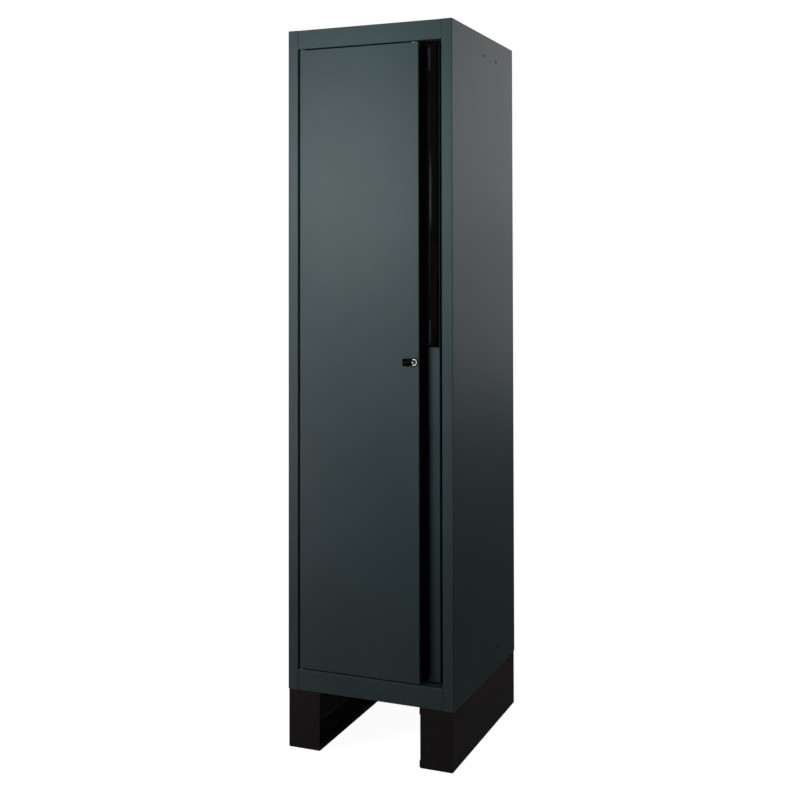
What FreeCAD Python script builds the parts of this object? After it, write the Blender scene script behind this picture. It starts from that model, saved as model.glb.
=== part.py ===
import FreeCAD, Part
import math
import os
import re
import Sketcher

# A tall single-door workshop locker on two channel feet.
# Every piece is drawn in the same axes: X to the right from the middle of the cabinet,
# Y back from the plane of the front, Z up from the floor. The whole is then moved along Y,
# so that the origin lies under the middle of the closed locker with its key in the lock.

SIZES = {
    # cabinet
    "width": (495, "overall width"),
    "depth": (516, "front plane to rear"),
    "height": (2000, "floor to top"),
    "foot_height": (160, "floor to the underside of the body"),
    "sheet": (1.0, "sheet thickness of body, shelves and door"),
    "bend": (2.4, "outer radius of every visible bend"),
    "stile_width": (31, "front flange of a side panel"),
    "stop_depth": (46, "front plane to the face of the stop lip"),
    "stop_lip": (24, "width of the stop lip behind the door"),
    "rear_flange": (20, "flange of a side panel at the rear"),
    "end_flange": (22, "flange of a side panel at top and bottom"),
    "top_rail": (54, "height of the top rail"),
    "bottom_rail": (58, "height of the bottom rail"),
    "rail_return": (44, "depth of the rail's fold under or over the door"),
    "rail_lip": (12, "turned edge at the back of that fold"),
    "rail_flange": (52, "fold of a rail at the outer end, over the edge of the roof or floor panel"),
    "rail_seam": (0.6, "joint between a rail and the hinge-side stile"),
    "floor_rise": (45, "locker floor above the underside of the body"),
    "pan_flange": (16, "turned-down edge of the top panel"),
    "rib_width": (36, "pressed rib of the back panel"),
    "rib_depth": (5, "pressed rib of the back panel"),
    "rib_offset": (105, "ribs from the middle of the back panel"),
    "rib_margin": (110, "ribs end short of floor and roof"),
    "panel_play": (0.2, "play of a panel between its neighbours"),
    "join_hole": (9, "diameter of a joining hole"),
    "join_first": (254, "front plane to the first joining hole"),
    "join_pitch": (107, "from joining hole to joining hole"),
    "join_inset": (60, "joining holes from the ends of the body"),
    # feet
    "foot_width": (98, "width of a channel foot"),
    "foot_inset": (2, "foot stands in from the sides of the body"),
    "foot_sheet": (2.0, "sheet thickness of the feet"),
    "foot_lip": (19, "turned edges of the channel"),
    "foot_plate_play": (3, "end plate is narrower than the channel"),
    "foot_bend": (4.0, "outer bend radius of the channel"),
    "foot_bolt": (8, "thread diameter of the foot bolts"),
    "bolt_across": (13, "foot bolt head and nut across the flats"),
    "bolt_head": (5.3, "height of a foot bolt's head"),
    "bolt_nut": (6.5, "height of a foot nut"),
    "bolt_end": (10.4, "foot bolt beyond the sheets"),
    "foot_bolt_edge": (14, "foot bolts from the side of the body"),
    "foot_bolt_end": (70, "foot bolts from front and rear"),
    # shelves
    "upright_width": (30, "width of a slotted upright"),
    "upright_depth": (12, "how far an upright stands off the side panel"),
    "upright_front": (72, "front plane to the front uprights"),
    "upright_rear": (24, "rear uprights from the rear of the body"),
    "upright_margin": (40, "uprights end short of floor and roof"),
    "slot_width": (12, "slot in an upright"),
    "slot_height": (6, "slot in an upright"),
    "slot_pitch": (75, "from slot to slot"),
    "shelf_lip": (25, "turned-down edge of a shelf"),
    "shelf_hem": (10, "hem under the shelf's edge"),
    "shelf_play": (3, "shelf to upright"),
    "shelf_front": (60, "front plane to the shelves"),
    "shelf_rear": (8, "shelves from the rear of the body"),
    "clip_reach": (18, "ledge of a shelf clip"),
    "clip_sheet": (2.0, "thickness of a shelf clip"),
    # door
    "hinge_gap": (5.5, "stile to door at the hinge side"),
    "door_gap": (4, "door to rail, top and bottom"),
    "latch_gap": (18, "recessed flange of the door to the right stile"),
    "recess_width": (48.3, "width of the recessed flange"),
    "recess_depth": (30, "depth of the recess"),
    "door_edge": (10, "edge fold behind the recessed flange"),
    "door_return": (20, "fold of the door at the hinge side, top and bottom"),
    "door_hem": (9, "hem of the fold at the hinge side"),
    "stiffener_width": (90, "foot-to-foot width of the door stiffener"),
    "stiffener_crown": (50, "crown width of the door stiffener"),
    "stiffener_depth": (15, "depth of the door stiffener"),
    "stiffener_margin": (60, "stiffener ends short of the door's ends"),
    # hinge
    "pivot_inset": (8, "pivot axis from the door's edge and face"),
    "pin_radius": (4, "hinge pin"),
    "pin_reach": (18, "hinge pin beyond the rail"),
    "pin_head": (5.5, "radius of the hinge pin's head"),
    "pin_head_height": (3, "height of the hinge pin's head"),
    "bush_wall": (1.5, "wall of a hinge bush"),
    "bush_collar": (3.0, "collar wall of a hinge bush"),
    "bush_length": (12, "hinge bush inside the door"),
    "running": (0.05, "radial clearance of a pin in its bore"),
    "seat": (0.3, "clearance between parts that move on each other"),
    # grip strip
    "grip_length": (823, "overall length with end caps"),
    "grip_width": (26, "width of the grip strip"),
    "grip_height": (12, "how far the strip stands off the flange"),
    "grip_edge": (1.6, "grip strip from the flange's outer edge"),
    "grip_wall": (2.2, "wall of the grip strip"),
    "grip_undercut": (6, "overhang of the finger lip"),
    "grip_round": (3.0, "rounding of the strip's front edges"),
    "cap_length": (75, "length of an end cap"),
    "cap_waist": (5, "end cap is narrower than the strip"),
    "cap_flare": (8, "end cap's toe reaches beyond the strip"),
    "cap_toe": (9, "height of the end cap's toe"),
    "cap_round": (4.5, "rounding of the end cap's toe"),
    "window_length": (255, "label window"),
    "window_width": (18, "label window"),
    "window_depth": (1.4, "recess of the label window"),
    "window_drop": (412, "label window's middle below the door's top"),
    "grip_screw": (4, "thread diameter of the strip's screws"),
    "screw_head": (2.4, "head height of the strip's screws"),
    "screw_edge": (10.4, "screws from the strip's outer edge"),
    "screw_low": (269, "lower strip screw from the strip's lower end"),
    "screw_high": (150, "upper strip screw from the strip's upper end"),
    # lock
    "lock_height": (1079, "height of the lock's axis"),
    "lock_setback": (15.0, "lock axis from the step of the door"),
    "lock_radius": (8.2, "radius of the lock body"),
    "lock_length": (17, "door face to the rear of the lock body"),
    "head_radius": (9.2, "radius of the lock body's chrome head"),
    "head_proud": (1.4, "that head proud of the door"),
    "ring_radius": (12.2, "radius of the escutcheon ring"),
    "ring_proud": (2.6, "ring proud of the door"),
    "nut_height": (3.5, "lock nut"),
    "nut_wall": (1.1, "wall of the lock nut"),
    "nut_foot": (0.2, "that wall at the chamfer next to the door"),
    "plug_radius": (6.6, "radius of the lock plug"),
    "plug_proud": (1.8, "plug proud of the door"),
    "cam_radius": (8.6, "radius of the cam plate"),
    "cam_sheet": (2.5, "thickness of the cam plate"),
    "cam_throw": (6.0, "drive pins from the lock's axis"),
    "cam_pin": (1.5, "radius of a drive pin"),
    "cam_angle": (45, "drive pins below and above level at rest"),
    "cam_screw": (1.5, "radius of the cam's countersunk screw"),
    "cam_screw_head": (4.2, "radius of that screw's head"),
    "cam_screw_sink": (1.2, "height of that screw's head"),
    "cam_screw_length": (5, "that screw under its head"),
    # locking rods
    "rod_width": (18, "width of a flat locking rod"),
    "rod_sheet": (3, "thickness of a locking rod"),
    "rod_depth": (6, "door face to the straight run of a rod"),
    "rod_joggle": (20, "length of the crank over the lock"),
    "rod_start": (16, "crank begins above or below the lock's axis"),
    "rod_proud": (2, "rod tip proud of the door's end at rest"),
    "fork_gap": (0.5, "between the two rods' forks"),
    "fork_play": (0.4, "play of a drive pin in its fork"),
    "fork_prong": (1.8, "prong of a fork beyond the drive pin"),
    "guide_sheet": (1.5, "thickness of a rod guide"),
    "guide_height": (20, "height of a rod guide"),
    "guide_foot": (9, "welded foot of a rod guide"),
    "guide_end": (60, "end guides from the door's ends"),
    "guide_lock": (90, "inner guides from the lock's axis"),
    # key
    "key_width": (7.4, "width of the key blade"),
    "key_sheet": (2.0, "thickness of the key blade"),
    "key_insert": (14, "blade in the plug"),
    "key_tip": (3.0, "rounding of the blade's tip"),
    "key_bite": (1.7, "width of a notch in the blade"),
    "key_pivot": (8.0, "pivot of the bow in front of the door"),
    "bow_length": (29, "bow beyond its pivot"),
    "bow_height": (21, "height of the bow"),
    "bow_thick": (7.0, "thickness of the bow"),
    "bow_round": (4.0, "corner rounding of the bow"),
    "bow_ear": (9.0, "height of the bow at its pivot"),
    "bow_neck": (7.0, "length of the narrow part over the pivot"),
    "key_pin": (1.2, "radius of the bow's pivot pin"),
    "knuckle_radius": (2.6, "knuckle of the blade, in the bow's fork"),
    "knuckle_height": (4.2, "knuckle of the blade, in the bow's fork"),
    # rubber bumpers
    "bumper_radius": (3.6, "door bumper"),
    "bumper_margin": (120, "outer bumpers from the door's ends"),
}

SHELF_COUNT = 4
KEY_NOTCHES = {2.1: 2.2, 5.9: 1.6, 9.0: 2.5}  # distance behind the door's face: depth of the notch
TOLERANCE = 0.01
TURN_TO_BACK = FreeCAD.Rotation(FreeCAD.Vector(1, 0, 0), -90)
ZERO = "0"

doc = FreeCAD.newDocument("side_locker")
sheet = doc.addObject("Spreadsheet::Sheet", "Sizes")
for row, (alias, (size, meaning)) in enumerate(SIZES.items(), start=1):
    sheet.set(f"A{row}", alias)
    sheet.set(f"B{row}", str(size))
    sheet.set(f"C{row}", meaning)
    sheet.setAlias(f"B{row}", alias)
doc.recompute()

# Places that several pieces share, as expressions of the sizes.
FRONT_SHIFT = "-(depth - key_pivot - bow_thick / 2) / 2"
INNER_X = "(width / 2 - sheet)"
OPENING_X = "(width / 2 - stile_width)"
BODY_HEIGHT = "(height - foot_height)"
RAIL_TOP_Z = "(height - top_rail)"
RAIL_BOTTOM_Z = "(foot_height + bottom_rail)"
FLOOR_Z = "(foot_height + floor_rise)"
DOOR_LEFT = "(-width / 2 + stile_width + hinge_gap)"
DOOR_RIGHT = "(width / 2 - stile_width - latch_gap)"
DOOR_BOTTOM = "(foot_height + bottom_rail + door_gap)"
DOOR_TOP = "(height - top_rail - door_gap)"
DOOR_HEIGHT = f"({DOOR_TOP} - {DOOR_BOTTOM})"
STEP_X = f"({DOOR_RIGHT} - recess_width)"
LOCK_X = f"({STEP_X} - lock_setback)"
PIVOT_X = f"({DOOR_LEFT} + pivot_inset)"
GRIP_RIGHT = f"({DOOR_RIGHT} - grip_edge)"
GRIP_LEFT = f"({GRIP_RIGHT} - grip_width)"
GRIP_FRONT = "(recess_depth - grip_height)"
GRIP_BOTTOM = f"({DOOR_TOP} - grip_length)"
CAM_Y = "(lock_length + seat)"
ROD_BACK_Y = f"({CAM_Y} + cam_sheet + seat)"
UPRIGHT_BOTTOM = f"({FLOOR_Z} + upright_margin)"
UPRIGHT_TOP = "(height - sheet * 2 - upright_margin)"
UPRIGHT_X = f"({INNER_X} - upright_depth)"
SHELF_HALF = f"({UPRIGHT_X} - shelf_play)"
SLOT_COUNT = f"floor(({UPRIGHT_TOP} - {UPRIGHT_BOTTOM}) / slot_pitch)"
UPRIGHT_ROWS = {"front": "upright_front", "rear": "depth - upright_rear - upright_width"}
FOOT_LEFT = "(foot_inset - width / 2)"
FOOT_RIGHT = f"({FOOT_LEFT} + foot_width)"
FOOT_BOLT_ROWS = ("foot_bolt_end", "depth - foot_bolt_end")
GRIP_MIDDLE = f"({GRIP_LEFT} + {GRIP_RIGHT}) / 2"
WINDOW_Z = f"({DOOR_TOP} - window_drop)"
GRIP_SCREW_X = f"({GRIP_RIGHT} - screw_edge)"
STRIP_SCREW_Z = (f"{GRIP_BOTTOM} + screw_low", f"{DOOR_TOP} - screw_high")
CAP_SCREW_Z = (f"{GRIP_BOTTOM} + cap_length / 2", f"{DOOR_TOP} - cap_length / 2")
CAM_ACROSS = "(cam_throw * cos(cam_angle * 1 deg))"
CAM_LEVEL = "(cam_throw * sin(cam_angle * 1 deg))"

pieces = {}


def linked(expression):
    """Return the expression with each size name pointing at the sheet."""
    return re.sub(r"[a-z][a-z_]+", lambda name: f"Sizes.{name[0]}" if name[0] in SIZES else name[0],
                  str(expression))


def value(expression):
    return float(sheet.evalExpression(linked(expression)))


def bind(target, **expressions):
    """Bind properties to expressions; a double underscore stands for a dot."""
    for name, expression in expressions.items():
        target.setExpression(name.replace("__", "."), linked(expression))


def place(piece, label, x=ZERO, y=ZERO, z=ZERO):
    """Register a finished piece under its name and set its place in the locker's frame."""
    piece.Label = label
    bind(piece, Placement__Base__x=x, Placement__Base__y=f"{FRONT_SHIFT} + {y}", Placement__Base__z=z)
    pieces[label] = piece
    return piece


def body(label, x=ZERO, y=ZERO, z=ZERO):
    return place(doc.addObject("PartDesign::Body", label), label, x, y, z)


def sketch_on(owner, plane, offset=ZERO):
    """Start a sketch on one of the body's own planes, offset along the plane's normal."""
    sketch = owner.newObject("Sketcher::SketchObject", "Profile")
    support = next(feature for feature in owner.Origin.OriginFeatures if feature.Role == f"{plane}_Plane")
    sketch.AttachmentSupport = [(support, "")]
    sketch.MapMode = "FlatFace"
    bind(sketch, AttachmentOffset__Base__z=offset)
    return sketch


def outline(sketch, lines, radii=None):
    """Draw a closed outline of upright ("x") and level ("y") lines, taken in turn.

    radii gives the rounding of the corner after a line, by the line's number.
    """
    radii = radii or {}
    count = len(lines)
    at = [value(place_of) for _, place_of in lines]
    corners = [FreeCAD.Vector(*(at[i], at[(i + 1) % count])[:: 1 if lines[i][0] == "x" else -1])
               for i in range(count)]
    rounding = [value(radii.get(i, ZERO)) for i in range(count)]
    along = [(corners[i] - corners[i - 1]).normalize() for i in range(count)]
    first = sketch.GeometryCount
    constraints, bound = [], []
    for i, (axis, expression) in enumerate(lines):
        start = corners[i - 1] + along[i] * rounding[i - 1]
        sketch.addGeometry(Part.LineSegment(start, corners[i] - along[i] * rounding[i]), False)
        constraints.append(Sketcher.Constraint("Vertical" if axis == "x" else "Horizontal", first + i))
        bound.append((len(constraints), expression))
        kind = "DistanceX" if axis == "x" else "DistanceY"
        constraints.append(Sketcher.Constraint(kind, -1, 1, first + i, 1, at[i]))
    for i, radius in enumerate(rounding):
        following = (i + 1) % count
        if not radius:
            constraints.append(Sketcher.Constraint("Coincident", first + i, 2, first + following, 1))
            continue
        inward, outward = corners[i] - along[i] * radius, corners[i] + along[following] * radius
        centre = inward + along[following] * radius
        left_turn = along[i].cross(along[following]).z > 0
        ends = (inward, outward) if left_turn else (outward, inward)
        start, stop = (math.atan2(end.y - centre.y, end.x - centre.x) for end in ends)
        circle = Part.Circle(centre, FreeCAD.Vector(0, 0, 1), radius)
        stop += 2 * math.pi if stop < start else 0
        arc = sketch.addGeometry(Part.ArcOfCircle(circle, start, stop), False)
        entry, leave = (1, 2) if left_turn else (2, 1)
        constraints.append(Sketcher.Constraint("Tangent", first + i, 2, arc, entry))
        constraints.append(Sketcher.Constraint("Tangent", arc, leave, first + following, 1))
        bound.append((len(constraints), radii[i]))
        constraints.append(Sketcher.Constraint("Radius", arc, radius))
    base = sketch.ConstraintCount
    sketch.addConstraint(constraints)
    for index, expression in bound:
        sketch.setExpression(f"Constraints[{base + index}]", linked(expression))
    return sketch


def box_lines(left, right, low, high):
    return [("x", left), ("y", low), ("x", right), ("y", high)]


def circles(sketch, centres, radius):
    """Draw bound circles at the given (x, y) expressions."""
    for x, y in centres:
        spot = FreeCAD.Vector(value(x), value(y))
        circle = sketch.addGeometry(Part.Circle(spot, FreeCAD.Vector(0, 0, 1), value(radius)), False)
        base = sketch.ConstraintCount
        sketch.addConstraint([Sketcher.Constraint("DistanceX", -1, 1, circle, 3, spot.x),
                              Sketcher.Constraint("DistanceY", -1, 1, circle, 3, spot.y),
                              Sketcher.Constraint("Radius", circle, value(radius))])
        for index, expression in enumerate((x, y, radius)):
            sketch.setExpression(f"Constraints[{base + index}]", linked(expression))
    return sketch


def folded(path, start, end, lip_radius="bend"):
    """Return the outline and roundings of a sheet folded along upright and level lines.

    path holds (axis, place, side): side +1 or -1 says on which side of the line the sheet lies.
    """
    inner = [(axis, f"{spot} {'+' if side > 0 else '-'} sheet") for axis, spot, side in path]
    outer = [(axis, spot) for axis, spot, _ in path]
    first_axis, last_axis = path[0][0], path[-1][0]
    cap = {"x": "y", "y": "x"}
    lines = [(cap[first_axis], start), *outer, (cap[last_axis], end), *reversed(inner)]
    spots = [value(start), *(value(spot) for _, spot, _ in path), value(end)]
    radii = {}
    for i in range(1, len(path)):
        after = math.copysign(1, spots[i + 2] - spots[i]) if i + 2 < len(spots) else 0
        convex = path[i - 1][2] == after
        outside, inside = (lip_radius, f"{lip_radius} - sheet")
        radii[i] = outside if convex else inside
        radii[len(lines) - 1 - i] = inside if convex else outside
    return lines, radii


def grow(owner, sketch, length, reverse=False, kind="Pad", middle=False):
    """Pad or pocket a sketch along its normal."""
    feature = owner.newObject(f"PartDesign::{kind}", kind)
    feature.Profile = sketch
    feature.Reversed = reverse
    feature.Midplane = middle
    bind(feature, Length=length)
    doc.recompute()
    return feature


def cut(owner, sketch, length, reverse=False, middle=False):
    """Pocket a sketch and make sure that it removes material."""
    before = owner.Shape.Volume
    feature = grow(owner, sketch, length, reverse, "Pocket", middle)
    if not owner.Shape.Volume < before:
        raise ValueError(f"{owner.Label}: a pocket removes nothing")
    return feature


def round_edges(owner, choose, radius):
    """Fillet the edges of the body that the choose function picks."""
    base = owner.Tip
    names = [f"Edge{i}" for i, edge in enumerate(base.Shape.Edges, start=1) if choose(edge)]
    feature = owner.newObject("PartDesign::Fillet", "Rounding")
    feature.Base = (base, names)
    bind(feature, Radius=radius)
    doc.recompute()
    return feature


def repeat(owner, feature, axis, count, pitch):
    """Repeat a feature along one of the body's own axes."""
    pattern = owner.newObject("PartDesign::LinearPattern", "Row")
    pattern.Originals = [feature]
    line = next(item for item in owner.Origin.OriginFeatures if item.Role == f"{axis}_Axis")
    pattern.Direction = (line, [""])
    pattern.Mode = "Spacing"
    bind(pattern, Offset=pitch, Occurrences=count)
    owner.Tip = pattern
    doc.recompute()
    return pattern


def mirrored(label, source):
    """Make the opposite-hand piece about the middle plane of the cabinet."""
    twin = doc.addObject("Part::Mirroring", label)
    twin.Source = source
    twin.Normal = FreeCAD.Vector(1, 0, 0)
    twin.Label = label
    pieces[label] = twin
    return twin


def group(label, members):
    """Gather separate solids that share one name."""
    together = doc.addObject("Part::Compound", label)
    together.Links = members
    together.Label = label
    for member in members:
        pieces.pop(member.Label, None)
    pieces[label] = together
    return together


def rod(label, axis, x, y, z, radius, height):
    """A plain cylinder that starts at a point and runs along Y (back) or Z (up)."""
    cylinder = doc.addObject("Part::Cylinder", label)
    bind(cylinder, Radius=radius, Height=height)
    if axis == "Y":
        cylinder.Placement.Rotation = TURN_TO_BACK
    return place(cylinder, label, x, y, z)


def joined(label, kind, members):
    """Fuse or cut members into one named piece."""
    result = doc.addObject(f"Part::{kind}", label)
    if kind == "MultiFuse":
        result.Shapes = members
    else:
        result.Base, result.Tool = members
    result.Label = label
    result.Refine = True
    for member in members:
        pieces.pop(member.Label, None)
    pieces[label] = result
    doc.recompute()
    return result


# --- cabinet ---------------------------------------------------------------------------------

def make_side_panel():
    """Left side: stop lip, return, stile, side and rear flange folded from one sheet."""
    panel = body("left_side_panel")
    lines, radii = folded([("y", "stop_depth", 1),
                           ("x", f"-{OPENING_X}", -1),
                           ("y", ZERO, 1),
                           ("x", "-width / 2", 1),
                           ("y", "depth", -1)],
                          f"-{OPENING_X} + stop_lip", "-width / 2 + rear_flange")
    grow(panel, outline(sketch_on(panel, "XY", "foot_height"), lines, radii), BODY_HEIGHT)
    flange = [("x", f"-{INNER_X}"), ("y", "depth - sheet"), ("x", f"-{INNER_X} + end_flange"),
              ("y", "stop_depth"), ("x", f"-{OPENING_X}"), ("y", "sheet")]
    for level in ("foot_height", "height - sheet"):
        grow(panel, outline(sketch_on(panel, "XY", level), flange), "sheet")
    lip_end = box_lines(f"-{OPENING_X}", f"-{OPENING_X} + stop_lip * 2", "stop_depth - sheet",
                        "stop_depth + sheet * 2")
    for level in ("foot_height + sheet", "height"):
        cut(panel, outline(sketch_on(panel, "XY", level), lip_end), "sheet")
    holes = [(spot, level)
             for spot in ("join_first", "join_first + join_pitch")
             for level in ("foot_height + join_inset", "height - join_inset")]
    cut(panel, circles(sketch_on(panel, "YZ", f"-{INNER_X}"), holes, "join_hole / 2"), "sheet * 2",
        middle=True)
    bolts = [("foot_bolt_edge - width / 2", spot) for spot in FOOT_BOLT_ROWS]
    cut(panel, circles(sketch_on(panel, "XY", "foot_height"), bolts, "foot_bolt / 2 + seat"), "sheet",
        reverse=True)
    return panel


def rail(label, outer_z, inner_z, up):
    """A rail between the stiles, folded over the top or bottom of the door."""
    piece = body(label)
    sign = 1 if up else -1
    lip = f"{inner_z} {'+' if up else '-'} rail_lip"
    lines, radii = folded([("y", outer_z, -sign),
                           ("x", ZERO, 1),
                           ("y", inner_z, sign),
                           ("x", "rail_return", -1)],
                          "rail_flange", lip)
    profile = outline(sketch_on(piece, "YZ", f"-{OPENING_X} + rail_seam"), lines, radii)
    grow(piece, profile, f"{OPENING_X} * 2 - rail_seam")
    through = f"{inner_z} {'+' if up else '-'} sheet / 2"
    pin = sketch_on(piece, "XY", through)
    cut(piece, circles(pin, [(PIVOT_X, "pivot_inset")], "pin_radius + running"), "sheet * 2", middle=True)
    slot = sketch_on(piece, "XY", through)
    cut(piece, outline(slot, rod_window("seat * 2")), "sheet * 2", middle=True)
    return piece


def rod_window(play):
    """Outline of the window that a locking rod passes through, in plan."""
    return box_lines(f"{LOCK_X} - rod_width / 2 - {play}", f"{LOCK_X} + rod_width / 2 + {play}",
                     f"rod_depth - {play}", f"rod_depth + rod_sheet + {play}")


def pan(label, top_z, flange, front, rear):
    """A flat panel between the sides with its four edges turned down."""
    piece = body(label)
    play = "panel_play"
    area = box_lines(f"-{INNER_X} + {play}", f"{INNER_X} - {play}", front, rear)
    grow(piece, outline(sketch_on(piece, "XY", top_z), area), flange, reverse=True)
    hollow = box_lines(f"-{INNER_X} + {play} + sheet", f"{INNER_X} - {play} - sheet",
                       f"{front} + sheet", f"{rear} - sheet")
    cut(piece, outline(sketch_on(piece, "XY", f"{top_z} - sheet"), hollow), f"{flange} - sheet")
    return piece


def make_back_panel():
    """Flat back in front of the rear flanges, stiffened by two pressed upright ribs."""
    piece = body("back_panel")
    half = f"({INNER_X} - bend + sheet - panel_play)"
    low, high = "foot_height + sheet", "height - sheet * 2"
    face = "-(depth - sheet * 2)"
    plate = box_lines(f"-{half}", half, low, high)
    grow(piece, outline(sketch_on(piece, "XZ", face), plate), "sheet", reverse=True)
    for hand in (-1, 1):
        middle = f"{hand} * rib_offset"
        start, stop = f"{FLOOR_Z} + rib_margin", "height - rib_margin"
        rib = box_lines(f"{middle} - rib_width / 2", f"{middle} + rib_width / 2", start, stop)
        ends = {corner: "rib_width / 3" for corner in range(4)}
        grow(piece, outline(sketch_on(piece, "XZ", face), rib, ends), "rib_depth")
        inside = box_lines(f"{middle} - rib_width / 2 + sheet", f"{middle} + rib_width / 2 - sheet",
                           f"{start} + sheet", f"{stop} - sheet")
        hollow = {corner: "rib_width / 3 - sheet" for corner in range(4)}
        cut(piece, outline(sketch_on(piece, "XZ", "-(depth - sheet)"), inside, hollow), "rib_depth",
            reverse=True)
    return piece


# --- shelves ---------------------------------------------------------------------------------

def make_upright(label, front):
    """A slotted channel on the left side panel; front is its edge nearest the door."""
    piece = body(label)
    left, crown = f"-{INNER_X}", f"-{UPRIGHT_X}"
    lines, radii = folded([("y", front, 1), ("x", crown, -1), ("y", f"{front} + upright_width", -1)],
                          left, left, "bend")
    grow(piece, outline(sketch_on(piece, "XY", UPRIGHT_BOTTOM), lines, radii),
         f"{UPRIGHT_TOP} - {UPRIGHT_BOTTOM}")
    middle = f"{front} + upright_width / 2"
    slot = box_lines(f"{middle} - slot_width / 2", f"{middle} + slot_width / 2",
                     f"{UPRIGHT_BOTTOM} + slot_pitch / 2",
                     f"{UPRIGHT_BOTTOM} + slot_pitch / 2 + slot_height")
    first = cut(piece, outline(sketch_on(piece, "YZ", crown), slot), "sheet * 2", middle=True)
    repeat(piece, first, "Z", SLOT_COUNT, "slot_pitch")
    return piece


def shelf_slot(number):
    """Height of the lower edge of the slot that carries a shelf, as an expression."""
    share = f"round({SLOT_COUNT} * {number} / {SHELF_COUNT + 1})"
    return f"({UPRIGHT_BOTTOM} + slot_pitch / 2 + slot_pitch * {share})"


def make_shelf(number):
    """A shelf: plate with turned-down, hemmed front and rear edges, resting on four clips."""
    piece = body(f"shelf_{number}", z=f"{shelf_slot(number)} + slot_height + sheet")
    front, rear = "shelf_front", "depth - shelf_rear"
    lines, radii = folded([("y", "-shelf_lip", 1), ("x", front, 1), ("y", ZERO, -1), ("x", rear, -1),
                           ("y", "-shelf_lip", 1)],
                          f"{front} + shelf_hem", f"{rear} - shelf_hem")
    grow(piece, outline(sketch_on(piece, "YZ", f"-{SHELF_HALF}"), lines, radii), f"{SHELF_HALF} * 2")
    return piece


def make_clip(number, side, row):
    """A bent clip: hooked behind the upright's slot, with a ledge under the shelf."""
    name = f"clip_{number}_{'left' if side < 0 else 'right'}_{row}"
    piece = body(name, z=shelf_slot(number))
    if side > 0:
        reach, wall, hook = (f"{UPRIGHT_X} - clip_reach", UPRIGHT_X, f"{UPRIGHT_X} + sheet + clip_sheet")
    else:
        reach, wall, hook = (f"-{UPRIGHT_X} + clip_reach", f"-{UPRIGHT_X}",
                             f"-{UPRIGHT_X} - sheet - clip_sheet")
    left, right = (reach, hook) if side > 0 else (hook, reach)
    middle = f"{UPRIGHT_ROWS[row]} + upright_width / 2"
    offset = f"-({middle} - slot_width / 2 + seat)"
    ledge = box_lines(left, right, "slot_height - clip_sheet", "slot_height")
    grow(piece, outline(sketch_on(piece, "XZ", offset), ledge), "slot_width - seat * 2", reverse=True)
    low_hook = box_lines(*((f"{wall} + sheet", hook) if side > 0 else (hook, f"{wall} - sheet")),
                         "-clip_sheet", "slot_height")
    grow(piece, outline(sketch_on(piece, "XZ", offset), low_hook), "slot_width - seat * 2", reverse=True)
    brace = box_lines(*((f"{wall} - clip_sheet", wall) if side > 0 else (wall, f"{wall} + clip_sheet")),
                      "-slot_height * 2", "slot_height")
    grow(piece, outline(sketch_on(piece, "XZ", offset), brace), "slot_width - seat * 2", reverse=True)
    return piece


# --- feet ------------------------------------------------------------------------------------

def make_foot_channel():
    """Left foot: a lipped channel, open towards the middle of the locker."""
    piece = body("left_foot_channel")
    top, wall = "foot_height", "foot_sheet"
    lines = [("x", FOOT_LEFT), ("y", ZERO), ("x", FOOT_RIGHT), ("y", "foot_lip"),
             ("x", f"{FOOT_RIGHT} - {wall}"), ("y", wall), ("x", f"{FOOT_LEFT} + {wall}"),
             ("y", f"{top} - {wall}"), ("x", f"{FOOT_RIGHT} - {wall}"), ("y", f"{top} - foot_lip"),
             ("x", FOOT_RIGHT), ("y", top)]
    inside = "foot_bend - foot_sheet"
    radii = {0: "foot_bend", 1: "foot_bend", 4: inside, 5: inside, 6: inside, 7: inside,
             10: "foot_bend", 11: "foot_bend"}
    start, run = "foot_inset + foot_sheet", "depth - foot_inset * 2 - foot_sheet * 2"
    grow(piece, outline(sketch_on(piece, "XZ", f"-({start})"), lines, radii), run, reverse=True)
    bolts = [("foot_bolt_edge - width / 2", spot) for spot in FOOT_BOLT_ROWS]
    cut(piece, circles(sketch_on(piece, "XY", top), bolts, "foot_bolt / 2 + seat"), "foot_sheet")
    return piece


def make_foot_plate(label, y):
    """End plate that closes a foot, a little narrower than the channel."""
    piece = body(label)
    plate = box_lines(FOOT_LEFT, f"{FOOT_RIGHT} - foot_plate_play", ZERO, "foot_height")
    corner = "foot_bend"
    sketch = outline(sketch_on(piece, "XZ", f"-({y})"), plate, {0: corner, 3: corner})
    grow(piece, sketch, "foot_sheet", reverse=True)
    return piece


def hexagon_prism(label, x, y, z, across, height):
    """A six-sided head or nut, axis up."""
    prism = doc.addObject("Part::Prism", label)
    prism.Polygon = 6
    bind(prism, Circumradius=f"{across} / 2 / cos(30 deg)", Height=height)
    return place(prism, label, x, y, z)


def make_foot_fasteners():
    """Hexagon bolts up through foot and side panel, with their nuts on the flange inside."""
    bolts, nuts = [], []
    low = "(foot_height - foot_sheet)"
    places = [(f"{hand} * (width / 2 - foot_bolt_edge)", spot) for hand in (-1, 1) for spot in FOOT_BOLT_ROWS]
    for number, (x, spot) in enumerate(places):
        shank = rod(f"shank_{number}", "Z", x, spot, low, "foot_bolt / 2", "foot_sheet + sheet + bolt_end")
        cap = hexagon_prism(f"cap_{number}", x, spot, f"{low} - bolt_head", "bolt_across", "bolt_head")
        bolts.append(joined(f"foot_bolt_{number}", "MultiFuse", [shank, cap]))
        hole = rod(f"thread_{number}", "Z", x, spot, "foot_height", "foot_bolt / 2 + running",
                   "sheet * 2 + bolt_nut * 2")
        nut = hexagon_prism(f"nut_blank_{number}", x, spot, "foot_height + sheet", "bolt_across", "bolt_nut")
        nuts.append(joined(f"foot_nut_{number}", "Cut", [nut, hole]))
    group("foot_bolts", bolts)
    group("foot_nuts", nuts)


# --- door ------------------------------------------------------------------------------------

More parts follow.
